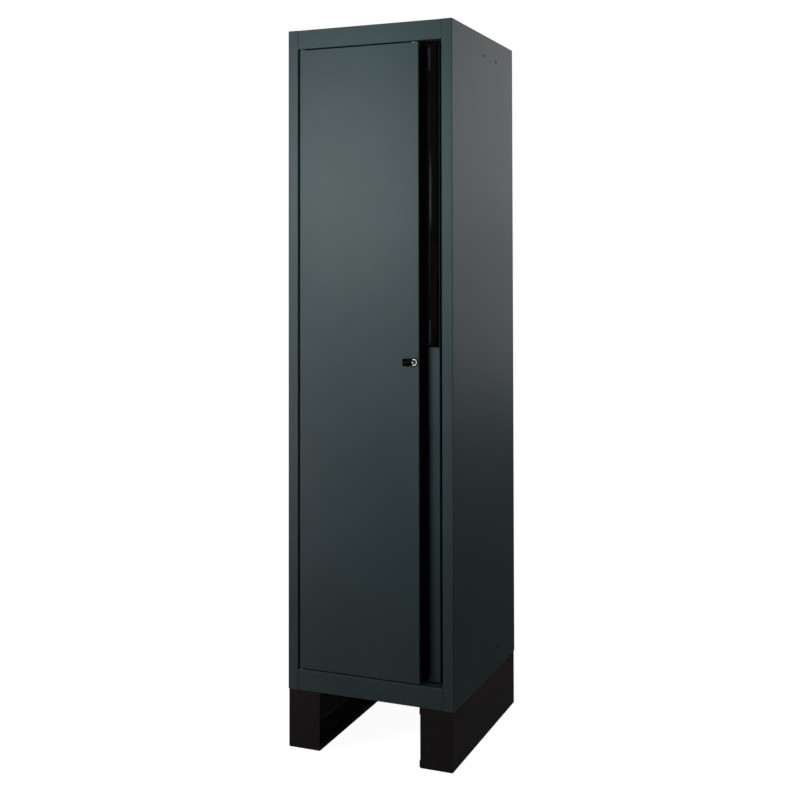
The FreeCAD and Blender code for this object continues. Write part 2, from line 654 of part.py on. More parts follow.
def make_door_skin():
    """Stepped door: hinge-side hem and return, face, step, recessed flange and edge fold."""
    piece = body("door_skin")
    lines, radii = folded([("y", "door_return", -1),
                           ("x", DOOR_LEFT, 1),
                           ("y", ZERO, 1),
                           ("x", STEP_X, -1),
                           ("y", "recess_depth", 1),
                           ("x", DOOR_RIGHT, -1)],
                          f"{DOOR_LEFT} + door_hem", "recess_depth + door_edge")
    grow(piece, outline(sketch_on(piece, "XY", DOOR_BOTTOM), lines, radii), DOOR_HEIGHT)
    lid = box_lines(f"{DOOR_LEFT} + sheet / 2", f"{STEP_X} - sheet / 2", "sheet / 2",
                    "door_return - sheet / 2")
    corner = "bend - sheet / 2"
    edge = box_lines(f"{STEP_X} - sheet", f"{DOOR_RIGHT} - sheet / 2", "recess_depth + sheet / 2",
                     "recess_depth + door_edge")
    for level in (DOOR_BOTTOM, f"{DOOR_TOP} - sheet"):
        grow(piece, outline(sketch_on(piece, "XY", level), lid, {0: corner, 3: corner}), "sheet")
        grow(piece, outline(sketch_on(piece, "XY", level), edge), "sheet")
        window = sketch_on(piece, "XY", f"{level} + sheet / 2")
        cut(piece, outline(window, rod_window("seat")), "sheet * 2", middle=True)
        bore = sketch_on(piece, "XY", f"{level} + sheet / 2")
        cut(piece, circles(bore, [(PIVOT_X, "pivot_inset")], "pin_radius + bush_wall + running"),
            "sheet * 2", middle=True)
    lock = sketch_on(piece, "XZ", "-sheet / 2")
    cut(piece, circles(lock, [(LOCK_X, "lock_height")], "lock_radius + running"), "sheet * 2", middle=True)
    screws = sketch_on(piece, "XZ", "-recess_depth - sheet / 2")
    cut(piece, circles(screws, [(GRIP_SCREW_X, z) for z in STRIP_SCREW_Z + CAP_SCREW_Z],
                       "grip_screw / 2 + running"),
        "sheet * 2", middle=True)
    return piece


def make_stiffener():
    """Hat-section rib welded up the middle of the door's face."""
    piece = body("door_stiffener")
    centre = f"({DOOR_LEFT} + {STEP_X}) / 2"
    foot, crown = "stiffener_width / 2", "stiffener_crown / 2"
    lines, radii = folded([("y", "sheet * 2", -1),
                           ("x", f"{centre} - {crown}", 1),
                           ("y", "sheet + stiffener_depth", -1),
                           ("x", f"{centre} + {crown}", -1),
                           ("y", "sheet * 2", -1)],
                          f"{centre} - {foot}", f"{centre} + {foot}")
    grow(piece, outline(sketch_on(piece, "XY", f"{DOOR_BOTTOM} + stiffener_margin"), lines, radii),
         f"{DOOR_HEIGHT} - stiffener_margin * 2")
    return piece


def make_hinge(end, rail_z, door_z, up):
    """Hinge pin through a rail's fold and its collared bush in the door's end."""
    reach = rod(f"{end}_pin_shank", "Z", PIVOT_X, "pivot_inset",
                f"{rail_z} - pin_reach" if up else f"{rail_z} - sheet - running",
                "pin_radius", "pin_reach + sheet + running")
    head_z = f"{rail_z} + sheet" if up else f"{rail_z} - sheet - pin_head_height"
    head = rod(f"{end}_pin_head", "Z", PIVOT_X, "pivot_inset", head_z, "pin_head", "pin_head_height")
    joined(f"{end}_hinge_pin", "MultiFuse", [reach, head])
    collar_height = "(door_gap - seat)"
    collar = rod(f"{end}_collar", "Z", PIVOT_X, "pivot_inset",
                 door_z if up else f"{door_z} - {collar_height}",
                 "pin_radius + bush_wall + bush_collar", collar_height)
    sleeve = rod(f"{end}_sleeve", "Z", PIVOT_X, "pivot_inset",
                 f"{door_z} - bush_length" if up else door_z, "pin_radius + bush_wall", "bush_length")
    blank = joined(f"{end}_bush_blank", "MultiFuse", [collar, sleeve])
    bore = rod(f"{end}_bush_bore", "Z", PIVOT_X, "pivot_inset", f"{door_z} - bush_length * 2",
               "pin_radius + running", "bush_length * 4")
    joined(f"{end}_hinge_bush", "Cut", [blank, bore])


# --- grip strip ------------------------------------------------------------------------------

def make_grip_strip():
    """Extruded strip: flat foot, wall and a rounded front that overhangs as a finger lip."""
    piece = body("grip_strip")
    wall = "grip_wall"
    foot_left = f"{GRIP_LEFT} + grip_undercut"
    lines = [("x", GRIP_RIGHT), ("y", "recess_depth"), ("x", foot_left),
             ("y", f"{GRIP_FRONT} + {wall} * 2"), ("x", GRIP_LEFT), ("y", GRIP_FRONT)]
    radii = {3: "grip_wall / 2", 4: "grip_round", 5: "grip_round"}
    start = f"{GRIP_BOTTOM} + cap_length"
    run = "grip_length - cap_length * 2"
    grow(piece, outline(sketch_on(piece, "XY", start), lines, radii), run)
    core = box_lines(f"{foot_left} + {wall}", f"{GRIP_RIGHT} - {wall}", f"{GRIP_FRONT} + {wall} * 2",
                     f"recess_depth - {wall}")
    cut(piece, outline(sketch_on(piece, "XY", f"{start} + {run} / 2"), core), f"{run} * 2", middle=True)
    screws = circles(sketch_on(piece, "XZ", "-recess_depth"), [(GRIP_SCREW_X, z) for z in STRIP_SCREW_Z],
                     "grip_screw / 2 + running")
    cut(piece, screws, "grip_wall", reverse=True)
    window = box_lines(f"{GRIP_MIDDLE} - window_width / 2", f"{GRIP_MIDDLE} + window_width / 2",
                       f"{WINDOW_Z} - window_length / 2", f"{WINDOW_Z} + window_length / 2")
    cut(piece, outline(sketch_on(piece, "XZ", f"-{GRIP_FRONT}"), window), "window_depth")
    return piece


def make_window():
    """Clear plate that closes the label recess in the strip."""
    piece = body("label_window")
    half = "(window_width / 2 - running * 2)"
    area = box_lines(f"{GRIP_MIDDLE} - {half}", f"{GRIP_MIDDLE} + {half}",
                     f"{WINDOW_Z} - window_length / 2 + running * 2",
                     f"{WINDOW_Z} + window_length / 2 - running * 2")
    grow(piece, outline(sketch_on(piece, "XZ", f"-{GRIP_FRONT} - window_depth"), area),
         "window_depth + grip_wall / 4")
    return piece


def make_cap(label, inner, outer, up):
    """End cap of the strip: a waisted block whose toe flares towards the step of the door."""
    piece = body(label)
    shoulder = f"{outer} {'-' if up else '+'} cap_toe"
    lines = [("x", GRIP_RIGHT), ("y", inner), ("x", f"{GRIP_LEFT} + cap_waist"), ("y", shoulder),
             ("x", f"{GRIP_LEFT} - cap_flare"), ("y", outer)]
    radii = {2: "cap_toe", 4: "cap_round"}
    grow(piece, outline(sketch_on(piece, "XZ", "-recess_depth"), lines, radii), "grip_height")
    screw = circles(sketch_on(piece, "XZ", "-recess_depth"), [(GRIP_SCREW_X, f"({inner} + {outer}) / 2")],
                    "grip_screw / 2 + running")
    cut(piece, screw, "grip_wall + seat", reverse=True)
    return piece


def make_grip_screws():
    """Pan-head screws through the flange into the strip and its caps."""
    screws = []
    for number, z in enumerate(STRIP_SCREW_Z + CAP_SCREW_Z):
        shank = rod(f"screw_shank_{number}", "Y", GRIP_SCREW_X, "recess_depth - grip_wall", z,
                    "grip_screw / 2", "grip_wall + sheet + seat")
        head = rod(f"screw_head_{number}", "Y", GRIP_SCREW_X, "recess_depth + sheet", z, "grip_screw",
                   "screw_head")
        screws.append(joined(f"grip_screw_{number}", "MultiFuse", [shank, head]))
    group("grip_screws", screws)


# --- lock ------------------------------------------------------------------------------------

def ring(label, y, length, outer, inner):
    """A sleeve about the lock's axis."""
    blank = rod(f"{label}_blank", "Y", LOCK_X, y, "lock_height", outer, length)
    bore = rod(f"{label}_bore", "Y", LOCK_X, f"{y} - seat", "lock_height", inner,
               f"{length} + seat * 2")
    return joined(label, "Cut", [blank, bore])


def make_lock_body():
    """Fixed lock: barrel with a head in front of the door, a black ring round it, and its nut."""
    barrel = ring("lock_barrel", ZERO, "lock_length", "lock_radius", "plug_radius + running")
    head = ring("lock_head", "-head_proud", "head_proud", "head_radius", "plug_radius + running")
    joined("lock_body", "MultiFuse", [barrel, head])
    ring("escutcheon_ring", "-ring_proud", "ring_proud", "ring_radius", "head_radius + running * 2")
    cone = doc.addObject("Part::Cone", "nut_chamfer")
    bind(cone, Radius1="lock_radius + nut_foot", Radius2="lock_radius + nut_wall",
         Height="nut_wall - nut_foot")
    cone.Placement.Rotation = TURN_TO_BACK
    place(cone, "nut_chamfer", LOCK_X, "sheet", "lock_height")
    rim = rod("nut_rim", "Y", LOCK_X, "sheet + nut_wall - nut_foot", "lock_height",
              "lock_radius + nut_wall", "nut_height - nut_wall + nut_foot")
    bore = rod("nut_bore", "Y", LOCK_X, "sheet / 2", "lock_height", "lock_radius + running",
               "nut_height * 2")
    joined("lock_nut", "Cut", [joined("nut_blank", "MultiFuse", [cone, rim]), bore])


def make_plug():
    """Turning plug with a keyway in front, and a stem with a screw hole for the cam behind."""
    piece = body("lock_plug", x=LOCK_X, z="lock_height")
    face = sketch_on(piece, "XZ", "plug_proud")
    grow(piece, circles(face, [(ZERO, ZERO)], "plug_radius"), "plug_proud + lock_length", reverse=True)
    keyway = box_lines("-key_sheet / 2 - running", "key_sheet / 2 + running",
                       "-key_width / 2 - running", "key_width / 2 + running")
    cut(piece, outline(sketch_on(piece, "XZ", "plug_proud"), keyway), "key_insert + seat")
    stem = sketch_on(piece, "XZ", "-lock_length")
    grow(piece, circles(stem, [(ZERO, ZERO)], "plug_radius / 2"), "seat + cam_sheet - cam_screw_sink",
         reverse=True)
    thread = sketch_on(piece, "XZ", f"-({CAM_Y} + cam_sheet - cam_screw_sink)")
    cut(piece, circles(thread, [(ZERO, ZERO)], "cam_screw"), "cam_screw_length", reverse=True)
    return piece


def make_cam():
    """Cam plate on the plug's stem, with two drive pins that run in the rods' forks."""
    piece = body("lock_cam", x=LOCK_X, z="lock_height")
    plate = circles(sketch_on(piece, "XZ", f"-{CAM_Y}"), [(ZERO, ZERO)], "cam_radius")
    grow(piece, plate, "cam_sheet", reverse=True)
    cut(piece, circles(sketch_on(piece, "XZ", f"-{CAM_Y}"), [(ZERO, ZERO)], "plug_radius / 2 + running"),
        "cam_sheet")
    sink = sketch_on(piece, "XZ", f"-({CAM_Y} + cam_sheet - cam_screw_sink)")
    cut(piece, circles(sink, [(ZERO, ZERO)], "cam_screw_head + running"), "cam_screw_sink")
    pins = [(f"-{CAM_ACROSS}", f"-{CAM_LEVEL}"), (CAM_ACROSS, CAM_LEVEL)]
    grow(piece, circles(sketch_on(piece, "XZ", f"-{CAM_Y} - cam_sheet"), pins, "cam_pin"),
         "seat + rod_sheet + seat", reverse=True)
    back = f"({CAM_Y} + cam_sheet - cam_screw_sink)"
    head = rod("cam_screw_cap", "Y", LOCK_X, back, "lock_height", "cam_screw_head", "cam_screw_sink")
    shank = rod("cam_screw_shank", "Y", LOCK_X, f"{back} - cam_screw_length", "lock_height", "cam_screw",
                "cam_screw_length + cam_screw_sink")
    joined("cam_screw", "MultiFuse", [shank, head])


# --- locking rods ----------------------------------------------------------------------------

def make_rod(label, up):
    """Flat rod, cranked forward over the lock, with a fork on one half of its inner end."""
    piece = body(label, x=LOCK_X, z="lock_height")
    sign = "" if up else "-"
    end = f"{DOOR_TOP} + rod_proud - lock_height" if up else f"lock_height - {DOOR_BOTTOM} + rod_proud"
    low = f"({CAM_LEVEL} + cam_pin + fork_play + fork_prong)"
    back, front = ROD_BACK_Y, "rod_depth"
    crank, straight = "rod_start", "(rod_start + rod_joggle)"
    profile = sketch_on(piece, "YZ", "-rod_width / 2")
    corners = [(back, f"-{low}"), (f"{back} + rod_sheet", f"-{low}"), (f"{back} + rod_sheet", crank),
               (f"{front} + rod_sheet", straight), (f"{front} + rod_sheet", end), (front, end),
               (front, straight), (back, crank)]
    polygon(profile, [(y, f"{sign}({z})") for y, z in corners])
    grow(piece, profile, "rod_width")
    near, far, beside = "fork_gap / 2", "rod_width", "rod_start / 2 + cam_pin"
    inner, reach = f"({CAM_ACROSS} - cam_pin - fork_play)", "(cam_pin + fork_play)"
    if up:
        other_half = box_lines(f"-{near}", far, f"-{low} * 2", beside)
        pin_notch = box_lines(f"-{far}", f"-{inner}", f"-{CAM_LEVEL} - {reach}", f"-{CAM_LEVEL} + {reach}")
    else:
        other_half = box_lines(f"-{far}", near, f"-({beside})", f"{low} * 2")
        pin_notch = box_lines(inner, far, f"{CAM_LEVEL} - {reach}", f"{CAM_LEVEL} + {reach}")
    for waste in (other_half, pin_notch):
        cut(piece, outline(sketch_on(piece, "XZ", f"-{back} + seat"), waste), "rod_sheet * 2")
    return piece


def polygon(sketch, corners):
    """Draw a closed outline of straight lines through bound corners."""
    points = [FreeCAD.Vector(value(x), value(y)) for x, y in corners]
    first = sketch.GeometryCount
    count = len(points)
    for i, point in enumerate(points):
        sketch.addGeometry(Part.LineSegment(point, points[(i + 1) % count]), False)
    joints = [Sketcher.Constraint("Coincident", first + i, 2, first + (i + 1) % count, 1)
              for i in range(count)]
    sketch.addConstraint(joints)
    for i, (x, y) in enumerate(corners):
        base = sketch.ConstraintCount
        sketch.addConstraint([Sketcher.Constraint("DistanceX", -1, 1, first + i, 1, points[i].x),
                              Sketcher.Constraint("DistanceY", -1, 1, first + i, 1, points[i].y)])
        sketch.setExpression(f"Constraints[{base}]", linked(x))
        sketch.setExpression(f"Constraints[{base + 1}]", linked(y))
    return sketch


def make_guides():
    """Welded staples that hold the flat rods to the door's face."""
    levels = [f"{DOOR_TOP} - guide_end", "lock_height + guide_lock",
              "lock_height - guide_lock", f"{DOOR_BOTTOM} + guide_end"]
    guides = []
    for number, level in enumerate(levels):
        piece = body(f"guide_{number}")
        inside, bridge = "(rod_width / 2 + seat)", "rod_depth + rod_sheet + seat"
        lines = [("y", "sheet"), ("x", f"{LOCK_X} - {inside} - guide_foot"), ("y", "sheet + guide_sheet"),
                 ("x", f"{LOCK_X} - {inside} - guide_sheet"), ("y", f"{bridge} + guide_sheet"),
                 ("x", f"{LOCK_X} + {inside}"), ("y", bridge), ("x", f"{LOCK_X} - {inside}")]
        grow(piece, outline(sketch_on(piece, "XY", f"{level} - guide_height / 2"), lines), "guide_height")
        guides.append(piece)
    group("rod_guides", guides)


# --- key -------------------------------------------------------------------------------------

def make_key():
    """Key: blade in the plug, and a moulded bow that folds about a pin across its fork."""
    blade = body("key_blade", x=LOCK_X, z="lock_height")
    pivot, shoulder = "-key_pivot", "-(key_pivot - bow_thick / 2 - seat)"
    profile = sketch_on(blade, "YZ", "-key_sheet / 2")
    tip, neck = "key_insert - plug_proud", "knuckle_height / 2"
    lines = [("y", "-key_width / 2"), ("x", tip), ("y", "key_width / 2"), ("x", shoulder), ("y", neck),
             ("x", pivot), ("y", f"-{neck}"), ("x", shoulder)]
    grow(blade, outline(profile, lines, {0: "key_tip", 1: "key_tip"}), "key_sheet")
    knuckle = circles(sketch_on(blade, "XY"), [(ZERO, pivot)], "knuckle_radius")
    grow(blade, knuckle, "knuckle_height", middle=True)
    for spot, bite in KEY_NOTCHES.items():
        notch = box_lines(f"{spot}", f"{spot} + key_bite", f"key_width / 2 - {bite}", "key_width")
        cut(blade, outline(sketch_on(blade, "YZ"), notch), "key_sheet * 2", middle=True)
    eye = circles(sketch_on(blade, "XY"), [(ZERO, pivot)], "key_pin + running")
    cut(blade, eye, "key_width * 2", middle=True)

    bow = body("key_bow", x=LOCK_X, y=pivot, z="lock_height")
    waist = "bow_ear / 2"
    lines = [("x", "-bow_length"), ("y", "-bow_height / 2"), ("x", "-bow_neck"), ("y", f"-{waist}"),
             ("x", "bow_thick / 2"), ("y", waist), ("x", "-bow_neck"), ("y", "bow_height / 2")]
    radii = {0: "bow_round", 1: "bow_round / 2", 6: "bow_round / 2", 7: "bow_round"}
    grow(bow, outline(sketch_on(bow, "XZ"), lines, radii), "bow_thick", middle=True)
    nose = value("bow_thick / 2")
    round_edges(bow, lambda edge: all(abs(point.X - nose) < TOLERANCE for point in edge.Vertexes)
                and abs(edge.tangentAt(edge.FirstParameter).z) > 1 - TOLERANCE, "bow_thick / 2 - running")
    slot = box_lines("-knuckle_radius - seat", "bow_thick", "-knuckle_height / 2 - seat",
                     "knuckle_height / 2 + seat")
    cut(bow, outline(sketch_on(bow, "XZ"), slot), "bow_thick * 2", middle=True)
    eye = circles(sketch_on(bow, "XY"), [(ZERO, ZERO)], "key_pin")
    cut(bow, eye, "bow_height * 2", middle=True)
    ring_hole = circles(sketch_on(bow, "XZ"), [("-bow_length + bow_round", ZERO)], "bow_round / 2")
    cut(bow, ring_hole, "bow_thick * 2", middle=True)
    rod("key_pivot_pin", "Z", LOCK_X, pivot, "lock_height - bow_ear / 2", "key_pin", "bow_ear")


# --- bumpers ---------------------------------------------------------------------------------

def make_bumpers():
    """Rubber studs on the stop lip that cushion the door's edge fold."""
    levels = [f"{DOOR_BOTTOM} + bumper_margin", f"({DOOR_BOTTOM} + {DOOR_TOP}) / 2",
              f"{DOOR_TOP} - bumper_margin"]
    start = "recess_depth + door_edge + seat"
    studs = [rod(f"bumper_{number}", "Y", f"{OPENING_X} - stop_lip + bumper_radius", start, level,
                 "bumper_radius", f"stop_depth - ({start})")
             for number, level in enumerate(levels)]
    group("door_bumpers", studs)


# --- assembly --------------------------------------------------------------------------------

side = make_side_panel()
mirrored("right_side_panel", side)
rail("top_rail", "height", RAIL_TOP_Z, True)
rail("bottom_rail", "foot_height", RAIL_BOTTOM_Z, False)
pan("top_panel", "height - sheet", "pan_flange", "stop_depth + sheet * 2", "depth - bend - panel_play")
pan("floor_panel", FLOOR_Z, "floor_rise - sheet", "stop_depth + sheet * 2", "depth - bend - panel_play")
make_back_panel()

for row, front in UPRIGHT_ROWS.items():
    upright = make_upright(f"left_{row}_upright", front)
    mirrored(f"right_{row}_upright", upright)
clips = []
for number in range(1, SHELF_COUNT + 1):
    make_shelf(number)
    clips += [make_clip(number, hand, row) for hand in (-1, 1) for row in UPRIGHT_ROWS]
group("shelf_clips", clips)

mirrored("right_foot_channel", make_foot_channel())
for end, y in (("front", "foot_inset"), ("rear", "depth - foot_inset - foot_sheet")):
    mirrored(f"right_foot_{end}_plate", make_foot_plate(f"left_foot_{end}_plate", y))
make_foot_fasteners()

make_door_skin()
make_stiffener()
make_hinge("top", RAIL_TOP_Z, DOOR_TOP, True)
make_hinge("bottom", RAIL_BOTTOM_Z, DOOR_BOTTOM, False)
make_grip_strip()
make_window()
make_cap("top_grip_cap", f"({DOOR_TOP} - cap_length)", DOOR_TOP, True)
make_cap("bottom_grip_cap", f"({GRIP_BOTTOM} + cap_length)", GRIP_BOTTOM, False)
make_grip_screws()
make_lock_body()
make_plug()
make_cam()
make_rod("upper_locking_rod", True)
make_rod("lower_locking_rod", False)
make_guides()
make_key()
make_bumpers()
doc.recompute()

for item in doc.Objects:
    if "Invalid" in item.State or "Error" in item.State:
        raise RuntimeError(f"{item.Name} ({item.Label}) failed: {item.State}")
os.makedirs("parts", exist_ok=True)
for label, piece in pieces.items():
    shape = piece.Shape
    if shape.isNull() or not shape.isValid():
        raise RuntimeError(f"{label} has no valid shape")
    shape.exportStep(os.path.join("parts", f"{label}.step"))
print(len(pieces), "pieces written")
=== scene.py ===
"""Looks of a tall single-door workshop locker with a recessed grip strip and a folding key."""

import logging
import math
from collections.abc import Callable, Sequence
from dataclasses import dataclass
from enum import Enum

import bmesh
import bpy
from mathutils import Matrix, Vector

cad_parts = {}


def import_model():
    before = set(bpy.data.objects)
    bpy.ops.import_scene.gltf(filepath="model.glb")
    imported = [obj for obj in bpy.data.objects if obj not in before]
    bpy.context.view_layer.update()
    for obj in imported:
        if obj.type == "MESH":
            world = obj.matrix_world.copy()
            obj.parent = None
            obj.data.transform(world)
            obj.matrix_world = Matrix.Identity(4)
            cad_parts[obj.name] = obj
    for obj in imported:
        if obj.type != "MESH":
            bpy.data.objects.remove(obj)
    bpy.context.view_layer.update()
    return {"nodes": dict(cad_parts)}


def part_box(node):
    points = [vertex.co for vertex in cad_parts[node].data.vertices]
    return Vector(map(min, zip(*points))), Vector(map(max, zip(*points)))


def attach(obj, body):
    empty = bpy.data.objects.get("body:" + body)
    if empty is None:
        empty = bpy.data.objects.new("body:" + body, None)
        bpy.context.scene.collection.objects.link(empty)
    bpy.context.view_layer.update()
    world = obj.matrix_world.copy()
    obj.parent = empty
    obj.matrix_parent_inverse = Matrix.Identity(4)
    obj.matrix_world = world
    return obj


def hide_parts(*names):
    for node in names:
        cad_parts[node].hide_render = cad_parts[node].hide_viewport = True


LOG = logging.getLogger("locker")

Colour = tuple[float, float, float, float]
Light = tuple[float, float, float]
Point = tuple[float, float, float]
Corner = tuple[float, float]
Choice = Callable[[bmesh.types.BMEdge], bool]

WHITE: Light = (1.0, 1.0, 1.0)
ROSE: Light = (1.0, 0.78, 0.82)

# In metres: places less than TOUCH apart are one place, and NEAR is a small margin past a place.
TOUCH = 1e-5
NEAR = 1e-4

# An edge runs along an axis if at least this share of its length does.
ALONG = 0.999


class Slot(Enum):
    """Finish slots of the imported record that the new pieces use."""

    MOULDING = "black_plastic"
    RUBBER = "rubber"
    CLEAR = "clear_window"


class Body(Enum):
    """Moving bodies that the new pieces ride on."""

    CABINET = "cabinet"
    DOOR = "door"
    BOW = "key_bow"


class Finish(Enum):
    """Finishes of the locker, by the name of their material."""

    COAT = "Anthracite powder coat"
    # The door's coat has shade painted into its recesses.
    SHADED_DOOR_COAT = "Anthracite door coat with painted shade"
    FOOT_COAT = "Near-black foot coat with painted shade"
    ZINC = "Bright zinc plate"
    ROD = "Dull zinc plate"
    PLUG = "Darkened nickel plate"
    CHROME = "Polished chrome"
    MOULDING = "Gloss black moulding"
    RUBBER = "Matt rubber"
    NYLON = "Dark nylon"
    CLEAR = "Smoked label cover"


Materials = dict[Finish, bpy.types.Material]


def srgb(red: int, green: int, blue: int) -> Colour:
    """Turn a display colour into linear light.

    Args:
        red: red, 0 to 255.
        green: green, 0 to 255.
        blue: blue, 0 to 255.

    Returns:
        The linear colour with full alpha.
    """
    linear = []
    for level in (red / 255, green / 255, blue / 255):
        linear.append(level / 12.92 if level <= 0.04045 else ((level + 0.055) / 1.055) ** 2.4)
    return (linear[0], linear[1], linear[2], 1.0)


class Wiring:
    """A short way of placing and joining shader nodes in a node tree."""

    MIX_FACTOR, MIX_FIRST, MIX_SECOND, MIX_RESULT = 0, 6, 7, 2

    def __init__(self, tree: bpy.types.NodeTree) -> None:
        """Start wiring in an existing tree."""
        self.tree = tree

    def put(self, socket: bpy.types.NodeSocket, value: object) -> None:
        """Give an input another node's output, or a plain value.

        Args:
            socket: the input.
            value: an output to link, or the value to set.
        """
        if isinstance(value, bpy.types.NodeSocket):
            self.tree.links.new(value, socket)
        else:
            socket.default_value = value

    def feed(self, node: bpy.types.Node, name: str, value: object) -> None:
        """Feed the input that has a name, among those that the node shows."""
        self.put(next(item for item in node.inputs if item.name == name and item.enabled), value)

    def add(self, kind: str, settings: dict | None = None, **inputs: object) -> bpy.types.Node:
        """Place a node, set its own settings and feed its inputs.

        Args:
            kind: node type, without the ShaderNode prefix.
            settings: attributes of the node itself.
            **inputs: input values or outputs to link by name, with a double underscore for a blank.

        Returns:
            The new node.
        """
        node = self.tree.nodes.new("ShaderNode" + kind)
        for name, value in (settings or {}).items():
            setattr(node, name, value)
        for name, value in inputs.items():
            self.feed(node, name.replace("__", " "), value)
        return node

    def ramp(self, factor: bpy.types.NodeSocket, low: float, high: float) -> bpy.types.NodeSocket:
        """Turn a value into a mask that rises smoothly.

        Args:
            factor: the value to read.
            low: where the mask is 0.
            high: where the mask is 1.

        Returns:
            The mask.
        """
        smooth = {"interpolation_type": "SMOOTHSTEP"}
        return self.add("MapRange", smooth, Value=factor, From__Min=low, From__Max=high).outputs["Result"]

    def span(self, mask: bpy.types.NodeSocket, low: float, high: float) -> bpy.types.NodeSocket:
        """Spread a mask over the range from low to high."""
        return self.add("MapRange", Value=mask, To__Min=low, To__Max=high).outputs["Result"]

    def math(self, operation: str, first: object, second: object) -> bpy.types.NodeSocket:
        """Join two values with a sum, product or other operation.

        Args:
            operation: the operation, as the Math node calls it.
            first: the first value or output.
            second: the second value or output.

        Returns:
            The result.
        """
        node = self.tree.nodes.new("ShaderNodeMath")
        node.operation = operation
        for socket, value in zip(node.inputs, (first, second)):
            self.put(socket, value)
        return node.outputs[0]

    def blend(self, mask: bpy.types.NodeSocket, first: object, second: object) -> bpy.types.NodeSocket:
        """Mix two colours by a mask.

        Args:
            mask: 0 shows the first colour and 1 the second.
            first: the first colour or output.
            second: the second colour or output.

        Returns:
            The mixed colour.
        """
        node = self.tree.nodes.new("ShaderNodeMix")
        node.data_type = "RGBA"
        self.put(node.inputs[self.MIX_FACTOR], mask)
        self.put(node.inputs[self.MIX_FIRST], first)
        self.put(node.inputs[self.MIX_SECOND], second)
        return node.outputs[self.MIX_RESULT]


class Group(Wiring):
    """A shader group while it is being wired. All its sockets are numbers."""

    def __init__(self, name: str, inputs: dict[str, float], outputs: tuple[str, ...]) -> None:
        """Make an empty group with named sockets.

        Args:
            name: name of the group.
            inputs: default value of each input.
            outputs: name of each output.
        """
        super().__init__(bpy.data.node_groups.new(name, "ShaderNodeTree"))
        number = "NodeSocketFloat"
        for label, default in inputs.items():
            socket = self.tree.interface.new_socket(label, in_out="INPUT", socket_type=number)
            socket.default_value = default
        for label in outputs:
            self.tree.interface.new_socket(label, in_out="OUTPUT", socket_type=number)
        self.given = self.tree.nodes.new("NodeGroupInput").outputs
        self.results = self.tree.nodes.new("NodeGroupOutput").inputs
        self.place = self.add("TexCoord").outputs

    def noise(self, scale: object, detail: float, roughness: float = 0.5,
              spot: bpy.types.NodeSocket | None = None) -> bpy.types.NodeSocket:
        """Read a noise at a spot.

        Args:
            scale: scale of the noise.
            detail: octaves.
            roughness: weight of the finer octaves.
            spot: where it is read, or none for the plain spot on the object.

        Returns:
            The noise.
        """
        where = spot or self.place["Object"]
        node = self.add("TexNoise", Vector=where, Scale=scale, Detail=detail, Roughness=roughness)
        return node.outputs[0]

    def scale_for(self, size: str) -> bpy.types.NodeSocket:
        """Turn an input that holds a size in metres into the scale of a noise."""
        return self.math("DIVIDE", 1.0, self.given[size])

    def give(self, name: str, value: bpy.types.NodeSocket) -> None:
        """Put a value out of the group."""
        self.put(self.results[name], value)


